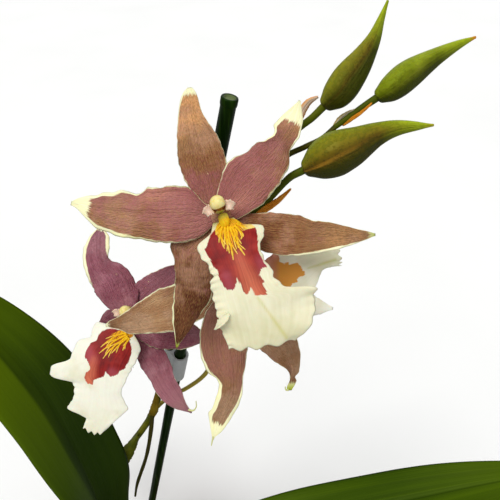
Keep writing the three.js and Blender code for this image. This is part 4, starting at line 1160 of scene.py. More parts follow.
BROWN_MAUVE = petal_finish(
    "brown_mauve_petal", dark=rgb(84, 40, 24), brown=rgb(138, 86, 56), tan=rgb(172, 126, 86),
    peach=rgb(250, 184, 124), pink=rgb(172, 100, 108), gold=rgb(206, 162, 96), light=rgb(200, 150, 122))
MAUVE = petal_finish(
    "mauve_petal", dark=rgb(108, 48, 66), brown=rgb(148, 82, 96), tan=rgb(172, 112, 120),
    peach=rgb(206, 160, 148), pink=rgb(184, 118, 134), gold=rgb(190, 138, 138), light=rgb(190, 134, 142))
TAN = petal_finish(
    "tan_petal", dark=rgb(100, 62, 42), brown=rgb(148, 104, 72), tan=rgb(174, 128, 90),
    peach=rgb(222, 186, 138), pink=rgb(162, 104, 96), gold=rgb(196, 154, 106), light=rgb(200, 162, 130))
print(len(MAUVE.node_tree.nodes), "nodes in each petal finish")

# %% [markdown]
# Each petal's painting is a few short lists that run from foot to tip: how far the cream comes in
# from the left and the right rim, the hue of the ground from brown to peach, and how much it blushes
# pink. Single numbers say where the tip turns cream, how lime it is, how flecked the petal is and to
# which side the blush leans. The highlight is painted light: a place on the petal where the ground
# turns to peach.

# %% What is painted on each petal
PAINTS = {
    ("bloom_front", "dorsal"): dict(
        tip=0.94, rims=([0.03, 0.03, 0.02, 0.03, 0.08, 0.2], [0.04, 0.04, 0.03, 0.02, 0.03, 0.1]), fleck=1,
        hue=[0.42, 0.46, 0.42, 0.42, 0.5, 0.66, 0.92, 1.1, 1], blush=[0.75, 0.6, 0.3, 0.1, 0.15, 0.4],
    ),
    ("bloom_front", "leftPetal"): dict(
        tip=0.86, rims=([0.04, 0.05, 0.07, 0.14, 0.24, 0.4], [0.06, 0.05, 0.06, 0.12, 0.26, 0.4]),
        hue=[0.5, 0.36, 0.44, 0.56, 0.62, 0.84], blush=[1, 0.9, 0.72, 0.62, 0.6, 0.55], lean=0.3,
        highlight=(0.4, 0.75, 0.5),
    ),
    ("bloom_front", "rightPetal"): dict(
        tip=0.82, rims=([0.06, 0.06, 0.05, 0.08, 0.36, 0.5], [0.04, 0.04, 0.05, 0.07, 0.16, 0.26]),
        hue=[0.5, 0.44, 0.4, 0.5, 0.7, 0.9], blush=[1, 0.95, 0.8, 0.65, 0.5, 0.4], lean=-0.25,
        highlight=(0.12, 0.3, 0.35),
    ),
    ("bloom_front", "rightSepal"): dict(
        tip=0.95, rims=([0, 0, 0, 0.02, 0.04, 0.06], [0, 0, 0.03, 0.14, 0.18, 0.14]),
        hue=[0.26, 0.34, 0.4, 0.52, 0.7, 0.8], blush=[0.5, 0.25, 0.1, 0.05], lime=0.7,
    ),
    # The front left sepal's ground is kept dark, partly its own darker brown and partly painted shade for
    # the shadow it lies in.
    ("bloom_front", "leftSepal"): dict(
        tip=0.96, rims=([0.12, 0.05, 0.05, 0.06, 0.08], [0, 0, 0.02, 0.12, 0.2]),
        hue=[0.4, 0.26, 0.14, 0.1, 0.16, 0.16], blush=[0.5, 0.3, 0.1, 0], lime=1,
    ),
    ("bloom_left", "leftPetal"): dict(
        tip=0.98, rims=([0, 0, 0, 0.18, 0.3, 0.3], [0, 0, 0, 0.04, 0.3, 0.3]),
        hue=[0.3, 0.3, 0.34, 0.44, 0.6], blush=[0.25, 0.3, 0.4, 0.5],
    ),
    ("bloom_left", "dorsal"): dict(
        tip=0.92, rims=([0, 0, 0.02, 0.1], [0, 0.05, 0.08, 0.12]), fleck=1, hue=[0.3, 0.4, 0.5, 0.6],
        blush=[0.3, 0.4, 0.5],
    ),
    ("bloom_left", "rightPetal"): dict(
        tip=0.9, rims=([0, 0, 0.04, 0.1], [0, 0.03, 0.05, 0.1]), hue=[0.14, 0.2, 0.2, 0.3],
        blush=[0.2, 0.3],
    ),
    ("bloom_left", "rightSepal"): dict(
        tip=1.05, rims=([0, 0, 0, 0.03], [0, 0, 0.02, 0.05]), hue=[0.05, 0.12, 0.4, 0.6, 0.8],
        blush=[0, 0.2, 0.5],
    ),
    ("bloom_left", "leftSepal"): dict(
        tip=0.95, rims=([0, 0.02, 0.04, 0.1], [0, 0.02, 0.05, 0.1]), hue=[0.1, 0.2, 0.3], blush=[0.1, 0.3],
    ),
    ("bloom_back", "dorsal"): dict(
        tip=0.97, rims=([0.06, 0.06, 0.06, 0.07, 0.1], [0.06, 0.06, 0.05, 0.06, 0.1]),
        hue=[0.5, 0.6, 0.7, 0.6, 0.6], blush=[0.5, 0.3, 0.2, 0.3],
    ),
    ("bloom_back", "leftPetal"): dict(
        tip=0.88, rims=([0.03, 0.05, 0.06, 0.1, 0.36, 0.4], [0.03, 0.06, 0.1, 0.3, 0.4, 0.3]),
        hue=[0.36, 0.42, 0.44, 0.36, 0.44, 0.7], blush=[0.9, 0.7, 0.45, 0.3],
    ),
    ("bloom_back", "rightPetal"): dict(
        tip=0.9, rims=([0.05, 0.06, 0.06, 0.1], [0.05, 0.06, 0.08, 0.1]), hue=[0.4, 0.5, 0.5],
    ),
    ("bloom_back", "rightSepal"): dict(
        tip=0.92, rims=([0, 0.03, 0.06], [0, 0.03, 0.06]), hue=[0.4, 0.5, 0.5], lime=0.5,
    ),
    ("bloom_back", "leftSepal"): dict(
        tip=0.93, rims=([0, 0.02, 0.03, 0.04], [0, 0.02, 0.03, 0.04]), hue=[0.6, 0.6, 0.5, 0.4],
        blush=[0.4, 0.3], lime=1,
    ),
}


def petal_paint(plan):
    def paint(blade, s, v, places):
        rim = np.where(v < 0, along(plan["rims"][0], s), along(plan["rims"][1], s))
        tip = 0.5 + (s - plan["tip"]) / 0.16
        cream = np.maximum(tip, 0.5 + (np.abs(v) - 1 + rim) / 0.35)
        lime = plan.get("lime", 0) * np.clip((s - 0.9) / 0.08, 0, 1)
        blush = along(plan.get("blush", 0), s) + plan.get("lean", 0) * v * np.sin(np.pi * s)
        # a painted highlight: the hue rises towards peach round one place on the petal
        highlight_s, highlight_v, highlight = plan.get("highlight", (0, 0, 0))
        fade = -((s - highlight_s) / 0.14) ** 2 - ((v - highlight_v) / 0.35) ** 2
        hue = along(plan["hue"], s) + highlight * np.exp(fade)
        return dict(cream=np.clip(cream, 0, 1), hue=hue, lime=lime, seed=blade["seed"],
                    fray=np.clip(4 * s, 0, 1), fleck=plan.get("fleck", 0.25), blush=blush)
    return paint


print(len(PAINTS), "petals and sepals have a painting")

# %% [markdown]
# A few tips end in a thin, pale thread, which is a tube of its own.

# %% Threads at the tips
THREADS = {
    "bloom_front": [],
    "bloom_left": [[(24.6, -38.8, -1.2), (26.6, -39, -0.6), (28, -37.4, 0), (28, -34.6, 0.6)]],
    "bloom_back": [[(-6.2, -53.6, -1.4), (-6.6, -55.4, -1.6), (-7, -57.4, -1.8)],
                   [(21.8, -36.4, -1.2), (20.8, -36.4, -1), (20.4, -35, -0.6)]],
}
print(sum(len(lines) for lines in THREADS.values()), "threads")

# %% [markdown]
# The petals and sepals of a bloom grow from one small receptacle, so they are made as one mesh. Each
# has a seed of its own, which shifts its frill and its veins.

# %% Petals and sepals
for k, bloom in enumerate(BLOOMS):
    bm = start_mesh("cream", "hue", "lime", "seed", "fray", "fleck", "blush")
    plain = dict(cream=0, hue=0.35, lime=0, seed=k, fray=0, fleck=0, blush=0.3)
    add_tube(bm, [(0, 0, HUB_BACK), (0, 0, (HUB_FRONT + HUB_BACK) / 2), (0, 0, HUB_FRONT)],
             [1.6, 3.4, HUB_RADIUS, 2.6],
             sides=32, steps=16, paint=lambda s, a, at: plain)
    for m, (part, tepal) in enumerate(bloom["tepals"].items()):
        extra = dict(seed=5 * k + m + 0.3, frill=[0, 0.15, 0.4, 0.5, 0.35, 0], frills=7, nibble=0.012,
                     groove=0.15,
                     veins=0.05, vein_count=9)
        if part in OUTLINES[bloom["name"]]:
            extra.update(outline=OUTLINES[bloom["name"]][part], pointed=True)
        blade = {**tepal, **extra}
        add_blade(bm, blade, rows=72, columns=28, thickness=0.8,
                  paint=petal_paint(PAINTS[bloom["name"], part]))
    finish = {"bloom_front": BROWN_MAUVE, "bloom_left": MAUVE, "bloom_back": TAN}[bloom["name"]]
    for thread in THREADS[bloom["name"]]:
        add_tube(bm, thread, [0.45, 0.35, 0.25, 0.2], sides=10, steps=16,
                 paint=lambda s, a, at: dict(plain, cream=1, lime=0.5))
    finish_piece(bm, f"{bloom['name']}_petals", finish, "tepals", f"{bloom['name']}_tepals",
                 place=bloom_place(bloom))

# %% [markdown]
# The lip is the broad cream skirt below the column. Its crimson patch and the yellow crest on it are
# painted as the distance to an outline, drawn in millimetres, so the finish can blur, fray and shade
# them. Coral, rose and a little gold are streaks along straight lines that fade to both sides. Between
# the rays of the crest run dark red lines, and faint veins fan out over the skirt.

# %% Patches
PATCHES = {
    "bloom_front": dict(
        patch=[
            (-2.6, -5.7), (-4.5, -10.7), (-2.9, -13.5), (-2, -15.6), (-0.6, -16.8), (-0.3, -18.5),
            (1.2, -21.4), (2.3, -22.6), (4.2, -22.8), (4.8, -21.8), (5.2, -19.2), (6.5, -21.1),
            (7.1, -23.2), (8.4, -24.3), (9.4, -21.8), (10.7, -24.4), (14.3, -24.1), (13.7, -22.1),
            (13, -20.8), (13.4, -20.2), (11.9, -18.2), (12.8, -16.2), (14.3, -16.1), (11.6, -11),
            (11.6, -6.6), (10.7, -4), (7.4, -4.3), (3.8, -2.3), (-0.5, -3.5),
        ],
        crest=[
            (-1.2, -3.3), (-1.6, -5), (-0.4, -7), (0.7, -8.6), (2, -10.8), (2.9, -11.6), (4.1, -13.2),
            (4.9, -11.8), (5.6, -10), (6.5, -8.6), (6.2, -7.2), (7.4, -6.5), (6.6, -5.2), (8.3, -4.6),
            (11, -3.9), (8.6, -2.6), (5.6, -1.3), (2.6, -0.8), (0.1, -1.4),
        ],
        rays=[
            [(0.2, -2.9), (-1, -4.6), (-1.2, -6.2)], [(0.8, -3.2), (0.2, -5.7), (0.6, -8.1), (1.5, -10.4)],
            [(1.5, -2.9), (1.6, -6), (2.4, -9), (3, -11.8)],
            [(2.3, -3.2), (2.7, -6.6), (3.5, -9.9), (4.2, -13.8)],
            [(3, -3.5), (4.1, -6.6), (6, -9.9), (7.7, -12.4)],
            [(3.6, -3.5), (4.7, -5.7), (5.4, -7.8), (5.7, -10.2)],
            [(4.3, -3.2), (5.8, -4.6), (6.8, -6), (6.4, -7.6)], [(4.9, -2.6), (6.8, -3.4), (8.4, -4.4)],
        ],
        coral=((5.6, -12.4), (11.2, -24.8), 1.8, 4),
        rose=[((2, -18.6), (3.2, -22)), ((12.4, -14), (13.6, -16))],
        threads=[((11.5, -25), (20.4, -37.4))],
    ),
    "bloom_left": dict(
        patch=[
            (-6.9, -4.6), (-4.5, -4.6), (-1.8, -5.4), (1.4, -8.6), (2.4, -11.7), (2.4, -14.5), (1.8, -17.3),
            (0.6, -19.7), (-1.4, -20.8), (-2.6, -22.4), (-5.3, -22.8), (-6.9, -20.8), (-7.7, -22.8),
            (-9.7, -23.6), (-11.3, -24), (-12.1, -26), (-14.1, -25.6), (-15.2, -23.6), (-14.8, -21.2),
            (-12.9, -20), (-13.7, -17.3), (-15.2, -14.9), (-14.8, -12.5), (-12.9, -9.8), (-10.9, -9),
            (-10.1, -6.6), (-8.5, -5),
        ],
        crest=[
            (1.5, -6.6), (-2, -5.2), (-4.8, -6.4), (-7.2, -8.8), (-7.4, -10.8), (-6.2, -13), (-4.4, -12.3),
            (-2.4, -11.4), (-0.8, -11), (1.2, -8.8), (2.7, -8), (3.2, -6.2),
        ],
        rays=[
            [(0.6, -6.2), (-3.2, -7.1), (-6.4, -9.2), (-9.2, -11.5)],
            [(0.6, -6.9), (-3.6, -9), (-6.8, -11.5), (-9.6, -13.8)],
            [(1, -7.4), (-2.8, -10.3), (-5.6, -12.7), (-8, -15.8)],
            [(1.3, -7.9), (-1.6, -10.3), (-3.6, -12.5), (-4.9, -13.9)],
            [(1.7, -8.3), (0.2, -10.7), (-0.7, -13)],
        ],
        coral=((-11.6, -16), (-13.9, -25.4), 1.4, 2.6),
        rose=[((-14, -12.4), (-12.8, -16)), ((-4.6, -21), (-3.8, -22))],
        threads=[],
    ),
    "bloom_back": dict(
        patch=[
            (12.4, 12.6), (13.5, 14), (15.2, 14.4), (17.7, 14), (18.1, 11.2), (19.5, 10.5), (20.9, 11.2),
            (21.3, 10.1), (22.4, 10.5), (24.1, 10.8), (25.6, 9.4), (25.9, 8.3), (27, 7.6), (26.6, 6.6),
            (24.8, 5.9), (24.1, 5.1), (24.1, 4.1), (22.4, 3.7), (22, 2.6), (20.6, 1.9), (16, 1.5),
            (11.7, 1.2), (6, 2.6), (3.8, 1.2), (3.1, 3.3), (8.1, 6.2), (11, 9.8),
        ],
        crest=[(1, -1.5), (5, -1), (7, 1), (6, 3.4), (1, 3)],
        rays=[
            [(2, 2), (6, 4), (11, 6.5)], [(2, 1.2), (7, 2.8), (13, 4.6)], [(2, 0.4), (7, 1.4), (12, 2.2)],
            [(2, -0.4), (6, -0.2), (10, 0)],
        ],
        coral=((20, 7), (24, 8), 0.4, 0.4), rose=[], threads=[((28, 9), (38, 12))],
    ),
}


def beside(line, x, y):
    """The distance from x, y to a straight line between two points, and how far along it that is."""
    (ax, ay), (bx, by) = line
    part = np.clip(((x - ax) * (bx - ax) + (y - ay) * (by - ay)) / ((bx - ax) ** 2 + (by - ay) ** 2), 0, 1)
    return np.hypot(x - ax - part * (bx - ax), y - ay - part * (by - ay)), part


def streak(line, x, y, start, end):
    """1 on a line and fading beside it, over a width that goes from start to end."""
    away, part = beside(line, x, y)
    return np.exp(-(away / (start + (end - start) * part)) ** 2)


def inside(outline, x, y):
    """How far x, y lies inside an outline: positive within it and negative outside."""
    corners = np.array(outline, float)
    nexts = np.roll(corners, -1, axis=0)
    near = np.full(x.shape, 1e9)
    crossings = np.zeros(x.shape, int)
    for (ax, ay), (bx, by) in zip(corners, nexts):
        near = np.minimum(near, beside(((ax, ay), (bx, by)), x, y)[0])
        spans = (ay > y) != (by > y)
        gap = np.where(by == ay, 1e-9, by - ay)
        crossings += spans & (x < ax + (y - ay) / gap * (bx - ax))
    return np.where(crossings % 2 == 1, near, -near)


lip_finish = Finish("cream_lip")
fan = lip_finish.noise(lip_finish.across_blade(2.0, 22), 1, 3)
lines = lip_finish.noise(lip_finish.across_blade(0.9, 60), 1, 2)
frayed = lip_finish.noise(lip_finish.across_blade(9, 30), 1.3, 4, 0.65)
spot = lip_finish.where()
cloud = lip_finish.noise(spot, 160, 4)
mist = lip_finish.noise(spot, 60, 3)
skirt = lip_finish.ramp(fan, (0.3, rgb(226, 219, 174)), (0.5, rgb(232, 226, 184)),
                        (0.7, rgb(238, 233, 196)))
skirt = lip_finish.coats(
    skirt,
    (lip_finish.painted("white"), rgb(250, 250, 240)),
    (lip_finish.step(mist + (cloud - 0.5) * 0.4, 0.46, 0.68) * 0.4, rgb(208, 203, 158)),
    (lip_finish.painted("gold"), rgb(196, 190, 66)),
)
crimson = lip_finish.ramp(cloud + (lines - 0.5) * 0.5, (0.25, rgb(98, 10, 10)), (0.5, rgb(138, 22, 18)),
                          (0.75, rgb(170, 44, 32)))
crimson = lip_finish.coats(
    crimson,
    (lip_finish.painted("rose") * 0.8, rgb(168, 70, 80)),
    (lip_finish.painted("coral") * (fan + lines), rgb(210, 112, 82)),
    (lip_finish.painted("amber"), rgb(220, 150, 60)),
    # a pale dull red on the back patch, partly its own colour and partly painted light over the front
    # bloom's shadow
    (lip_finish.painted("dull"), rgb(236, 166, 136)),
)
patch = lip_finish.step(lip_finish.painted("patch") + (frayed - 0.5) * 0.4, 0.46, 0.54)
yellow = lip_finish.ramp(lines, (0.32, rgb(226, 138, 2)), (0.46, rgb(246, 188, 0)),
                         (0.7, rgb(253, 214, 40)))
red_line = lip_finish.noise(lip_finish.across_blade(0.7, 60), 1, 1) + lip_finish.painted("ember") * 0.35
red_line = lip_finish.step(red_line, 0.54, 0.6)
yellow = lip_finish.coats(
    yellow,
    (red_line * (1 - lip_finish.painted("ray")) * 0.9, rgb(140, 28, 8)),
    (lip_finish.painted("pale"), rgb(255, 232, 130)),
    (lip_finish.painted("gold") * lip_finish.painted("ray"), rgb(214, 196, 70)),
)
crest = lip_finish.step(lip_finish.painted("crest") + (frayed - 0.5) * 0.3, 0.46, 0.56)
colour = lip_finish.mix(crest, lip_finish.mix(patch, skirt, crimson), yellow)
lip_finish.bumped(lines * 0.12 + cloud * 0.8 + mist * 4, 0.0004, 0.6)
lip_finish.surface(Base_Color=colour, Roughness=0.46 + fan * 0.15, Subsurface_Weight=0.12,
                   Subsurface_Scale=0.001, Specular_IOR_Level=0.2)
print(len(lip_finish.tree.nodes), "nodes in the lip finish")

# %% [markdown]
# The painting of a lip says for each point how deep it lies in the patch and in the crest, and how
# much rose, coral, amber or gold the streaks bring there. The left lip is the whitest. The back lip's
# patch turns from dull red to amber. Its dull red is painted pale: partly its own colour and partly
# painted light over the shadow that the front bloom casts on it.

# %% What is painted on each lip
LIP_FEET = {bloom["name"]: bloom["lip"]["spine"][0][:2] for bloom in BLOOMS}
LIP_WHITE = {"bloom_front": 0.22, "bloom_left": 0.65, "bloom_back": 0.5}


def lip_paint(name):
    plan = PATCHES[name]

    def paint(blade, s, v, places):
        x, y = places[..., 0], places[..., 1]
        patch = np.clip(0.5 + inside(plan["patch"], x, y) / 4, 0, 1)
        crest = np.clip(0.5 + inside(plan["crest"], x, y) / 3, 0, 1)
        rose = sum((streak(line, x, y, 1.8, 2.4) for line in plan["rose"]), np.zeros(x.shape))
        first, last, narrow, wide = plan["coral"]
        coral = streak((first, last), x, y, narrow, wide) * (0.55 + 0.45 * beside((first, last), x, y)[1])
        golden = sum(streak(line, x, y, 0.35, 0.6) for line in plan["threads"])
        gold = 0.7 * np.clip(1 - s / 0.08, 0, 1) + 0.4 * golden
        gold = gold + 0.16 * np.clip((s - 0.68) * 4, 0, 1) * (1 - v * v)
        amber = np.clip((x - 14) / 4, 0, 1) * np.clip((14 - y) / 3, 0, 1) if name == "bloom_back" else 0
        # the rest of the back patch gets the pale dull red: partly its own colour, partly painted light over
        # shadow
        dull = 0.9 - 0.9 * amber if name == "bloom_back" else 0
        foot_x, foot_y = LIP_FEET[name]
        ember = np.clip((np.hypot(x - foot_x, y - foot_y) - 4) / 8, 0, 1)
        pale = np.clip((x - 6.5) / 3, 0, 0.8) if name == "bloom_front" else 0
        return dict(patch=patch, crest=crest, rose=np.clip(rose, 0, 1), coral=coral, ray=0, pale=pale,
                    gold=np.clip(gold, 0, 1), seed=blade["seed"], amber=amber, white=LIP_WHITE[name],
                    dull=dull, ember=ember)
    return paint


print("how white the lips are:", LIP_WHITE)

# %% [markdown]
# The rays of the crest are thin, knotty tubes that lie on the skirt. Each has two side branches, and
# all of them are drawn flat and then lifted to the height of the skirt under them.

# %% Crest rays
BRANCHES = ((0, 0, 1), (0.6, 0.3, 0.72), (-0.7, 0.5, 0.86))
RAY_WIDTHS, BRANCH_WIDTHS = [0.5, 0.38, 0.3, 0.25, 0.3, 0.16], [0.27, 0.24, 0.19, 0.2, 0.1]
LIP_NUMBERS = ("patch", "crest", "rose", "coral", "gold", "seed", "amber", "white", "ray", "pale", "dull",
               "ember")
UNPAINTED = dict.fromkeys(LIP_NUMBERS, 0)


def on_sheet(sheet, x, y):
    """The height of the lip's middle sheet over the point x, y."""
    away = np.hypot(sheet[..., 0] - x, sheet[..., 1] - y)
    return sheet[..., 2].flat[away.argmin()]


def add_ray(bm, ray, m, sheet, plain):
    """One ray of the crest with its two branches; m shifts its knots."""
    line = Path([(x, y, 0) for x, y in ray])
    for turn, start, end in BRANCHES:
        steps = np.linspace(start, end, 6)
        flat = line.at(steps)
        way = flat[-1] - flat[0]
        side = np.array([way[1], -way[0], 0]) * turn * (1 + 0.3 * math.sin(3 * m)) * 0.5
        flat = flat + side * ((steps - start) / (end - start))[:, None]
        points = [(x, y, on_sheet(sheet, x, y) + 0.4 + 0.3 * (1 - at))
                  for (x, y, _), at in zip(flat, steps)]
        older = 0 if turn == 0 else 0.4
        add_tube(bm, points, BRANCH_WIDTHS if turn else RAY_WIDTHS, sides=12, steps=30, reference=(0, 0, 1),
                 paint=lambda s, a, at: dict(plain, pale=np.clip((s + older) * 1.4 - 0.9, 0, 0.45)),
                 bump=lambda s, a: 0.16 * np.sin(37 * s + m) + 0.1 * np.sin(83 * s))


print(sum(len(plan["rays"]) for plan in PATCHES.values()), "rays drawn")

# %% [markdown]
# Each lip is one broad blade with shallow waves and a frill at its rim. The back lip has a flap at its
# side and the front one a small curl. The callus, a yellow cushion under the column, covers the foot.

# %% Lips
for k, bloom in enumerate(BLOOMS):
    name = bloom["name"]
    lip = dict(bloom["lip"], cup=LIP_CUP, wave=LIP_WAVE, waves=3.3, seed=20 + k,
               frill=[0, 0.4, 1, 1.2, 0.9, 0.6, 0.5], frills=17, calm=0.25, rim_width=7,
               scallop=0.6, scallops=3.5, nibble=0.02, groove=0.1, veins=0.012, vein_count=7)
    if "lip" in OUTLINES[name]:
        lip["outline"] = OUTLINES[name]["lip"]
    if name == "bloom_left":
        lip.update(frill=0.25, wave=[0.8 * lift for lift in LIP_WAVE], nibble=0.012)
    bm = start_mesh(*LIP_NUMBERS)
    add_blade(bm, lip, rows=110, columns=80, thickness=0.9, paint=lip_paint(name))
    along_it, across_it = np.meshgrid(np.linspace(0, 1, 121), np.linspace(-1, 1, 81), indexing="ij")
    sheet = blade_places(prepared(lip), along_it, across_it)
    golden = dict(UNPAINTED, crest=1, ray=1, seed=k)
    for m, ray in enumerate(PATCHES[name]["rays"]):
        add_ray(bm, ray, m, sheet, golden)
    if "lobe" in lip:
        flap = dict(spine=lip["lobe"], left=[5.4, 4.6, 2.8, 0.5], cup=[0, -0.6, 0],
                    frill=0.3, frills=3, nibble=0.02, seed=4)
        add_blade(bm, flap, rows=30, columns=20, thickness=0.8,
                  paint=lambda blade, s, v, at: dict(UNPAINTED, seed=k, white=0.6))
    if "curl" in lip:
        curl = dict(spine=lip["curl"], left=[0.3, 1.2, 1.4, 1.2, 0.5], cup=0.5,
                    twist=[0, -20, -50, -80], frill=0.3, frills=3, nibble=0.06, seed=6)
        add_blade(bm, curl, rows=30, columns=16, thickness=0.6,
                  paint=lambda blade, s, v, at: dict(UNPAINTED, seed=k, white=0.2))
    foot, toe = (np.array(point[:2]) for point in bloom["lip"]["spine"][:2])
    callus = [(*(foot - 0.3 * (toe - foot)), 3.6), (*foot, 4.1), (*(foot + 0.35 * (toe - foot)), 4.4)]
    add_tube(bm, callus, [1.5, 1.75, 1.6, 0.9], sides=24, steps=20, flat=0.8,
             paint=lambda s, a, at: dict(golden, gold=np.clip(2.2 - 4 * s, 0, 1)),
             bump=lambda s, a: 0.05 * np.cos(5 * a))
    finish_piece(bm, f"{name}_skirt", lip_finish.material, "lip", f"{name}_lip", place=bloom_place(bloom))

# %% [markdown]
# The column is the small pillar over the lip, with the pale anther cap at its end and a wing at each
# side. Its foot is yellow-green with a brown band under the cap.

# %% Columns
column_finish = Finish("column_and_cap")
spot = column_finish.where()
grain = column_finish.noise(spot, 700, 3)
cap = column_finish.ramp(grain, (0.3, rgb(234, 212, 110)), (0.6, rgb(246, 230, 156)))
foot = column_finish.ramp(column_finish.noise(spot, 420, 3), (0.35, rgb(188, 178, 40)),
                          (0.6, rgb(226, 220, 130)))
colour = column_finish.mix(column_finish.painted("cap"), foot, cap)
colour = column_finish.coats(
    colour,
    (column_finish.painted("wing"), rgb(228, 196, 170)),
    (column_finish.step(column_finish.painted("band") + (grain - 0.5) * 0.6, 0.3, 0.6), rgb(134, 70, 16)),
)
column_finish.bumped(grain, 0.0002, 0.5)
column_finish.surface(Base_Color=colour, Roughness=0.38 + grain * 0.1, Subsurface_Weight=0.12,
                      Subsurface_Scale=0.001)

COLUMN_TOP = np.array((0.4, 3, 8.4))
CAP_MIDDLE = COLUMN_TOP + (0, 0.3, 0.9)
WING_LINE = [(1, -0.9, -1.4), (2.5, -1, -0.4), (3.6, -1.3, -0.2), (4.4, -1.9, -0.8)]


def pillar_paint(s, a, places):
    return dict(cap=0, band=np.clip((s - 0.62) * 5, 0, 1), wing=0)


def cap_paint(s, a, places):
    low = -unit(places - CAP_MIDDLE) @ (-0.1, 0.9, 0.4)
    return dict(cap=1, band=np.clip((low - 0.45) * 5, 0, 1), wing=0)


def wing_paint(blade, s, v, places):
    band = np.clip(1.8 - 4 * s, 0, 1)
    return dict(cap=0, band=band, wing=1 - band)


for bloom in BLOOMS:
    bm = start_mesh("cap", "band", "wing")
    pillar = [(0.2, 2.4, HUB_FRONT + 0.45), (0.3, 2.7, 5), COLUMN_TOP]
    add_tube(bm, pillar, [2.1, 1.9, 1.8], sides=32, steps=24, paint=pillar_paint)
    ball = [CAP_MIDDLE - (0, 0.1, 2.1), CAP_MIDDLE, CAP_MIDDLE + (0, 0.1, 2.1)]
    add_tube(bm, ball, [2.2, 2.3, 2.2], sides=40, steps=12, rounding=0.95, paint=cap_paint,
             bump=lambda s, a: -0.05 * np.exp(-(np.sin(a / 2 + 0.8) / 0.1) ** 2))
    for hand in (-1, 1):
        wing = dict(spine=[COLUMN_TOP + (hand * x, y, z) for x, y, z in WING_LINE],
                    left=[0.8, 1.3, 1.5, 1.4, 0.9], frill=0.4, frills=5, nibble=0.09,
                    scallop=0.35, scallops=5, cup=0.6, seed=hand)
        add_blade(bm, wing, rows=36, columns=20, thickness=0.6, paint=wing_paint)
    spine = bloom["lip"]["spine"]
    turn = Matrix.Rotation(math.atan2(spine[-1][0], -spine[-1][1]), 4, "Z")
    finish_piece(bm, f"{bloom['name']}_pillar", column_finish.material, "column", f"{bloom['name']}_column",
                 place=bloom_place(bloom) @ turn)

# %% [markdown]
# Buds are rolled grids with three overlapping sepals, so their section is a rounded triangle with a
# seam at each corner. They are lime green with a brown flush and a dark mottling. Painted light
# brightens the side towards the sun and the tips, which are also a lighter lime, and painted shade
# darkens the side away from it. One of them ends in an orange tip.

# %% Buds
BUDS = [
    dict(
        name="bud_1", radius=[2.2, 4.6, 5.3, 4.9, 3.9, 2.8, 1.8, 1, 0.4], flush=(-0.7, -0.5, 0.1), tip=0,
        # dim adds painted shade over the lower half of this bud
        seam=0.1, rosy=0.9, dim=0.55,
        path=[(100.9, 16.6, 538.8), (105.5, 17.7, 543.4), (108.5, 19.6, 547.2), (112.7, 22.5, 552.3),
              (116.1, 25.5, 557.5), (118.2, 28.4, 562.6), (120.1, 31.1, 567.4)],
    ),
    dict(
        name="bud_2", radius=[2.1, 4, 4.7, 4.5, 3.7, 2.8, 2, 1.2, 0.4], flush=(0.5, -0.5, -0.6), tip=1,
        seam=0, rosy=0.15,
        path=[(118, 17.5, 541.4), (122.4, 17.9, 544.6), (127.9, 20, 548.4), (135.6, 22.4, 552.7),
              (143, 24.1, 556.2), (148.1, 24.7, 558.3)],
    ),
    dict(
        name="bud_3", radius=[2.4, 6, 7.4, 6.7, 5.1, 3.6, 2.5, 1.5, 0.4], flush=(-0.1, -1, 0.1), tip=0.2,
        seam=1, rosy=0.9,
        path=[(94.5, 5.6, 521.5), (103.3, 6.7, 526.3), (110.3, 7.7, 529.3), (118.1, 9.2, 532.9),
              (124.2, 9.4, 534.9), (135.3, 7.9, 536.6)],
    ),
]
TO_SUN = unit(np.array((-0.7, 0.1, 0.7)))
AWAY_FROM_SUN = unit(np.array((0.6, -0.1, -0.8)))
bud_finish = Finish("green_bud")
streaks = bud_finish.noise(bud_finish.across_blade(1.6, 30), 1, 3)
cloud = bud_finish.noise(bud_finish.where(), 150, 4)
green = bud_finish.ramp(cloud + (streaks - 0.5) * 0.4, (0.3, rgb(84, 98, 3)), (0.52, rgb(112, 124, 10)),
                        (0.75, rgb(148, 160, 36)))
flush = bud_finish.painted("flush") + (streaks - 0.5) * 0.6 + (cloud - 0.5) * 0.4
flush = bud_finish.step(flush, 0.34, 0.78)
mottle = bud_finish.noise(bud_finish.where(), 700, 4, 0.7) + (streaks - 0.5) * 0.5
mottle = bud_finish.step(mottle, 0.46, 0.6)
colour = bud_finish.mix(flush * bud_finish.painted("rosy"), green, rgb(104, 70, 18))
colour = bud_finish.coats(
    colour,
    (mottle * (0.12 + bud_finish.painted("rosy") * 0.55), rgb(66, 50, 10)),
    # painted shade on the side away from the sun, then painted light on the side towards it and at the tips
    (bud_finish.painted("shade") * 0.85, rgb(42, 50, 1)),
    (bud_finish.painted("bright"), rgb(168, 186, 30)),
    (bud_finish.painted("seam") * (streaks * 1.2), rgb(190, 136, 44)),
    (bud_finish.painted("tip"), rgb(226, 150, 40)),
)
bud_finish.bumped(streaks + mottle * 0.4 + cloud * 0.5, 0.0005, 0.7)
bud_finish.surface(Base_Color=colour, Roughness=0.4 + cloud * 0.12, Specular_IOR_Level=0.25,
                   Specular_Tint=(0.9, 1, 0.3, 1), Subsurface_Weight=0.05, Subsurface_Scale=0.002)


def bud_seams(s, a):
    """How far round a is from the overlaps of the three sepals, which wind a little."""
    return 3 * a + 1.2 * s - 2.4


def bud_relief(s, a):
    overlap = (bud_seams(s, a) / (2 * math.pi)) % 1 - 0.5
    return 0.03 * overlap * np.sin(np.pi * s) - 0.012 * np.cos(9 * a)


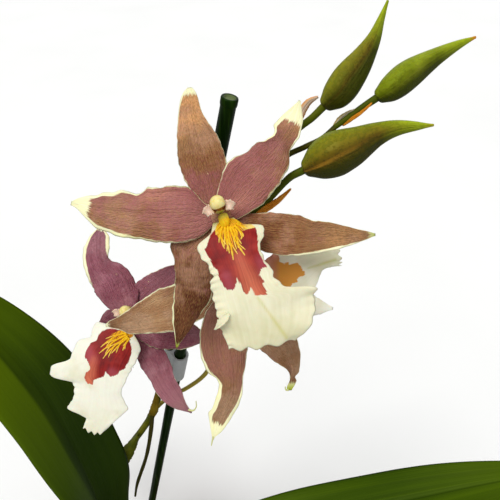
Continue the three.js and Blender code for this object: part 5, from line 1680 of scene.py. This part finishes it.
def bud_paint(bud):
    """The brown flush, the gold seam, the shaded side, the lit side and the orange tip."""
    path = Path(bud["path"])

    def paint(s, a, places):
        out = unit(places - path.at(np.clip(s, 0.02, 0.98)))
        flush = out @ unit(np.array(bud["flush"]))
        gap = (np.cos(bud_seams(s, a)) - 1) / 0.03
        seam = bud["seam"] * np.exp(-gap ** 2) * np.clip(1.5 - 3 * s, 0, 1)
        # painted shade: the side away from the sun, and for bud_1 its lower half too
        shade = 0.7 + 1.2 * (out @ AWAY_FROM_SUN) + bud.get("dim", 0) * (1.2 - 1.5 * s)
        shade = np.clip(shade, 0, 1) * np.clip((1.1 - s) * 4, 0, 1)
        bright = 0.55 * np.clip(out @ TO_SUN - 0.3, 0, 1) + 0.8 * np.clip((s - 0.6) / 0.35, 0, 1)
        tip = bud["tip"] * np.clip((s - 0.93) / 0.05, 0, 1)
        return dict(flush=np.clip(0.5 + 0.5 * flush, 0, 1) * np.clip(1.5 - s, 0, 1), seam=seam, tip=tip,
                    shade=shade, bright=bright, rosy=bud["rosy"], seed=len(bud["path"]))
    return paint


for bud in BUDS:
    bm = start_mesh("flush", "seam", "tip", "shade", "bright", "rosy", "seed")
    add_tube(bm, bud["path"], bud["radius"], sides=72, steps=70, ribs=3, rib_height=0.03, rounding=0.5,
             paint=bud_paint(bud), bump=bud_relief)
    finish_piece(bm, f"green_{bud['name']}", bud_finish.material, "bud", bud["name"])

# %% [markdown]
# The flower spike is one grown thing: a main stem that thins as it climbs, side stalks to every bloom
# and bud, swollen joints, a few bracts, and a dried side shoot. Painted numbers say what is dry, green
# or golden, what is bract, and where a bract is a pale membrane.

# %% Spike finish
spike_finish = Finish("spike_and_bracts")
streaks = spike_finish.noise(spike_finish.across_blade(6, 16), 1, 3)
spot = spike_finish.where()
cloud = spike_finish.noise(spot, 110, 4)
stem = spike_finish.ramp(cloud + (streaks - 0.5) * 0.5, (0.3, rgb(58, 62, 2)), (0.5, rgb(84, 86, 4)),
                         (0.72, rgb(122, 114, 22)))
stem = spike_finish.coats(
    stem,
    (spike_finish.painted("green"), rgb(72, 84, 5)),
    (spike_finish.painted("golden"), rgb(188, 166, 70)),
)
dry = spike_finish.ramp(streaks, (0.35, rgb(36, 34, 6)), (0.65, rgb(66, 60, 16)))
bract = spike_finish.ramp(streaks + (cloud - 0.5) * 0.3, (0.3, rgb(168, 92, 16)), (0.5, rgb(230, 140, 30)),
                          (0.75, rgb(246, 182, 80)))
specks = spike_finish.step(spike_finish.noise(spot, 620, 3), 0.62, 0.7)
colour = spike_finish.mix(spike_finish.painted("dry"), stem, dry)
colour = spike_finish.coats(
    colour,
    (spike_finish.painted("bract"), bract),
    (spike_finish.painted("membrane"), rgb(208, 203, 190)),
    (specks * 0.25, rgb(96, 60, 20)),
)
spike_finish.bumped(streaks + cloud * 0.4, 0.0003, 0.6)
spike_finish.surface(Base_Color=colour, Roughness=0.44 + streaks * 0.2, Specular_IOR_Level=0.2,
                     Specular_Tint=(0.9, 1, 0.4, 1), Subsurface_Weight=0.04, Subsurface_Scale=0.002)
print(len(spike_finish.tree.nodes), "nodes in the spike finish")

# %% [markdown]
# The stem, the stalks and the side shoot are tubes along measured lines. The stalks end in the backs of
# the blooms and in the feet of the buds. The bracts are small cupped blades.

# %% Spike
SPIKE_PATH = [
    (-28, 12, 92), (-29, 13, 150), (-27, 13, 215), (-18, 11, 262), (-7.2, 10.6, 300), (6.1, 14.1, 327.7),
    (13.5, 14, 341.7), (21.7, 14.1, 358.8), (28.8, 15.8, 380), (33.4, 17.6, 396), (35.4, 17.4, 405),
    (37.4, 17.2, 414), (47, 20, 440), (57.5, 17.5, 456), (66, 12.5, 479.4), (77, 6.9, 502.7),
    (84.7, 10.4, 514.8), (88.7, 12.7, 522.2), (95.6, 12.9, 526.3), (101.2, 13.4, 529.2),
    (105.7, 15.1, 532.8),
]
SPIKE_RADIUS = [3.4, 3.4, 3.4, 3.4, 3.4, 3.3, 2.7, 2.1, 1.9, 1.8, 1.7, 1.5, 1.4, 1.1, 0.9]
LEAD = 4


def to_bloom(index):
    return [in_bloom(index, (0, 0, HUB_BACK - OVARY_GAP + back)) for back in (-LEAD, 0, 1)]


def to_bud(bud):
    first, second = np.array(bud["path"][0]), np.array(bud["path"][1])
    back = unit(first - second)
    return [first + back * far for far in (LEAD + OVARY_GAP, OVARY_GAP, -1.2)]


STALKS = [
    dict(path=[(75, 8, 499.5), (78, 4, 503), *to_bloom(0)], radius=[1.3, 1.2, 1.5], green=1),
    dict(
        path=[(41, 18.4, 422), (34.5, 16, 433), (29.2, 11, 445), *to_bloom(1)], radius=[1.3, 1.2, 1.4, 1.5],
        green=0.4,
    ),
    dict(
        path=[(22, 14, 361), (28, 18.6, 364.5), (34.5, 20.2, 369.5), (42.4, 15, 382), (55.4, 8.1, 406),
              (63, 4.5, 434), (68.4, 1.5, 459), *to_bloom(2)],
        radius=[1.2, 1.1, 1.1, 1.1, 1.2, 1.2, 1.3, 1.5], green=0, golden=0.8,
    ),
    dict(
        path=[(88, 12.3, 520.8), (91.2, 15, 529.6), *to_bud(BUDS[0])], radius=[1, 1.1, 1.2, 1.3], green=0.8,
    ),
    dict(path=[(105, 14.9, 532.3), (110, 15.8, 536), *to_bud(BUDS[1])], radius=[0.9, 1.1, 1.3], green=0.8),
    dict(
        path=[(76.5, 7, 501.8), (83.3, 6.8, 508.9), *to_bud(BUDS[2])], radius=[1.2, 1.2, 1.2, 1.4], green=1,
    ),
]
DRY_SHOOT = dict(path=[(22.4, 14, 362), (20.6, 10.6, 350), (14.2, 9.4, 321), (3, 8.4, 284),
                       (-0.6, 7.6, 268)],
                 radius=[1.3, 1.2, 1.1, 1.1, 0.7])
BRACTS = [
    dict(
        spine=[(79.2, 5.6, 502.8), (82.3, 5.3, 505.6), (86.7, 4.9, 509.7), (91.1, 5.5, 514.3)],
        half_width=1.3, bract=1,
    ),
    dict(
        spine=[(92.9, 17.9, 532.2), (94.5, 19.6, 535.8), (96.7, 20.3, 538.9), (99.4, 19.4, 541)],
        half_width=1.5, bract=1, membrane=0.75,
    ),
    dict(
        spine=[(107.6, 14.8, 533.2), (110.7, 14.8, 535.6), (113.9, 15, 538.1), (116.6, 15.8, 540.6)],
        half_width=0.6, bract=1,
    ),
    dict(
        spine=[(105.3, 14.9, 532.6), (106.9, 16, 534.6), (109, 16.3, 536.5), (111.5, 16.2, 538)],
        half_width=1, bract=0.15, golden=0.7, membrane=0.7,
    ),
    dict(
        spine=[(20.6, 13.4, 356), (23.4, 11.8, 364), (26, 11.6, 374), (27.6, 11.2, 384)], half_width=2.4,
        bract=0.15,
    ),
    dict(
        spine=[(-7.6, 8.8, 302.9), (-0.8, 8.1, 316), (5.8, 9.8, 328.8), (12.1, 9.3, 342.3)], half_width=4.4,
        bract=0,
    ),
]
JOINTS = [0.13, 0.3, 0.44, 0.575, 0.72, 0.87]


def swollen(s, a):
    rings = sum(0.16 * np.exp(-((s - joint) / 0.004) ** 2) for joint in JOINTS)
    return rings + 0.015 * np.cos(5 * a + 9 * s)


bm = start_mesh("dry", "bract", "green", "golden", "membrane", "seed")
bare = dict(dry=0, bract=0, green=0, golden=0, membrane=0)
add_tube(bm, SPIKE_PATH, SPIKE_RADIUS, sides=28, steps=420, bump=swollen,
         paint=lambda s, a, at: dict(bare, dry=np.clip((s - 0.84) * 9, 0, 0.6), seed=1,
                                     green=0.7 * np.exp(-((s - 0.38) / 0.12) ** 2)))
for k, stalk in enumerate(STALKS):
    add_tube(bm, stalk["path"], stalk["radius"], sides=18, steps=60, bump=lambda s, a: 0.04 * np.cos(3 * a),
             paint=lambda s, a, at: dict(bare, green=stalk["green"], golden=stalk.get("golden", 0),
                                         seed=2 + k))
add_tube(bm, DRY_SHOOT["path"], DRY_SHOOT["radius"], sides=14, steps=60,
         paint=lambda s, a, at: dict(bare, dry=1, green=0.3, seed=9),
         bump=lambda s, a: 0.04 * np.sin(30 * s) * np.cos(2 * a))
for k, bract in enumerate(BRACTS):
    half = bract["half_width"]
    blade = dict(spine=bract["spine"], face=(0, -1, 0.2),
                 left=[part * half for part in (0.8, 1, 0.9, 0.6, 0.18)],
                 cup=-0.45 * half, nibble=0.04, frill=0.15, frills=4, groove=0.2, seed=12 + k)
    add_blade(bm, blade, rows=36, columns=14, thickness=0.6, paint=lambda blade, s, v, at: dict(
        bare, bract=bract["bract"], green=0.3, golden=bract.get("golden", 0), seed=blade["seed"],
        membrane=bract.get("membrane", 0) * (1 - v * v) ** 2))
finish_piece(bm, "flowering_stem", spike_finish.material, "spike", "flower_spike")

# %% [markdown]
# A studio for plants: a pale floor, a pale, even sky and three suns, each wide enough for soft
# shadows. The key stands at the upper left, the weak fill at the right and the weak rim light behind.
# The camera stands close above the flowers and looks down forty degrees, as the one that took the
# picture did. Colours are shown plainly, without a film curve.

# %% Floor, light and camera
floor_finish = Finish("pale_floor")
shade = floor_finish.noise(floor_finish.where(), 3, 2)
floor_finish.surface(Base_Color=floor_finish.mix(shade, rgb(240, 240, 238), rgb(248, 248, 246)),
                     Roughness=0.9)
bm = bmesh.new()
bmesh.ops.create_grid(bm, x_segments=8, y_segments=8, size=4)
ground = bpy.data.meshes.new("floor")
bm.to_mesh(ground)
bm.free()
ground.materials.append(floor_finish.material)
floor = bpy.data.objects.new("floor", ground)
bpy.context.collection.objects.link(floor)


def soft_sun(name, towards, strength, spread):
    """A sun that stands in the direction towards, with shadows as soft as its spread in degrees."""
    light = bpy.data.lights.new(name, "SUN")
    light.energy, light.angle = strength, math.radians(spread)
    lamp = bpy.data.objects.new(name, light)
    bpy.context.collection.objects.link(lamp)
    lamp.rotation_euler = Vector(towards).to_track_quat("Z", "Y").to_euler()


SKY_COLOUR, SKY_STRENGTH = (0.97, 0.98, 1, 1), 0.4
soft_sun("key", (-0.32, -0.38, 0.86), 2.05, 35)
soft_sun("fill", (0.55, -0.6, 0.55), 0.5, 70)
soft_sun("rim", (0.2, 0.8, 0.6), 0.4, 60)
floor.visible_diffuse = False
floor.visible_glossy = False
world = bpy.data.worlds.new("studio")
world.use_nodes = True
sky = world.node_tree.nodes["Background"].inputs
sky["Color"].default_value = SKY_COLOUR
sky["Strength"].default_value = SKY_STRENGTH
bpy.context.scene.world = world
bpy.context.scene.view_settings.view_transform = "Standard"

SENSOR_WIDTH, FOCAL_LENGTH, NEAREST = 36, 34.56, 0.01
CAMERA_PLACE = (0.077, -0.134, 0.604)
lens = bpy.data.cameras.new("camera")
lens.sensor_width, lens.lens, lens.clip_start = SENSOR_WIDTH, FOCAL_LENGTH, NEAREST
camera = bpy.data.objects.new("camera", lens)
bpy.context.collection.objects.link(camera)
camera.location = CAMERA_PLACE
camera.rotation_euler = (FACE_TILT, 0, 0)
bpy.context.scene.camera = camera
print("camera at", tuple(camera.location))
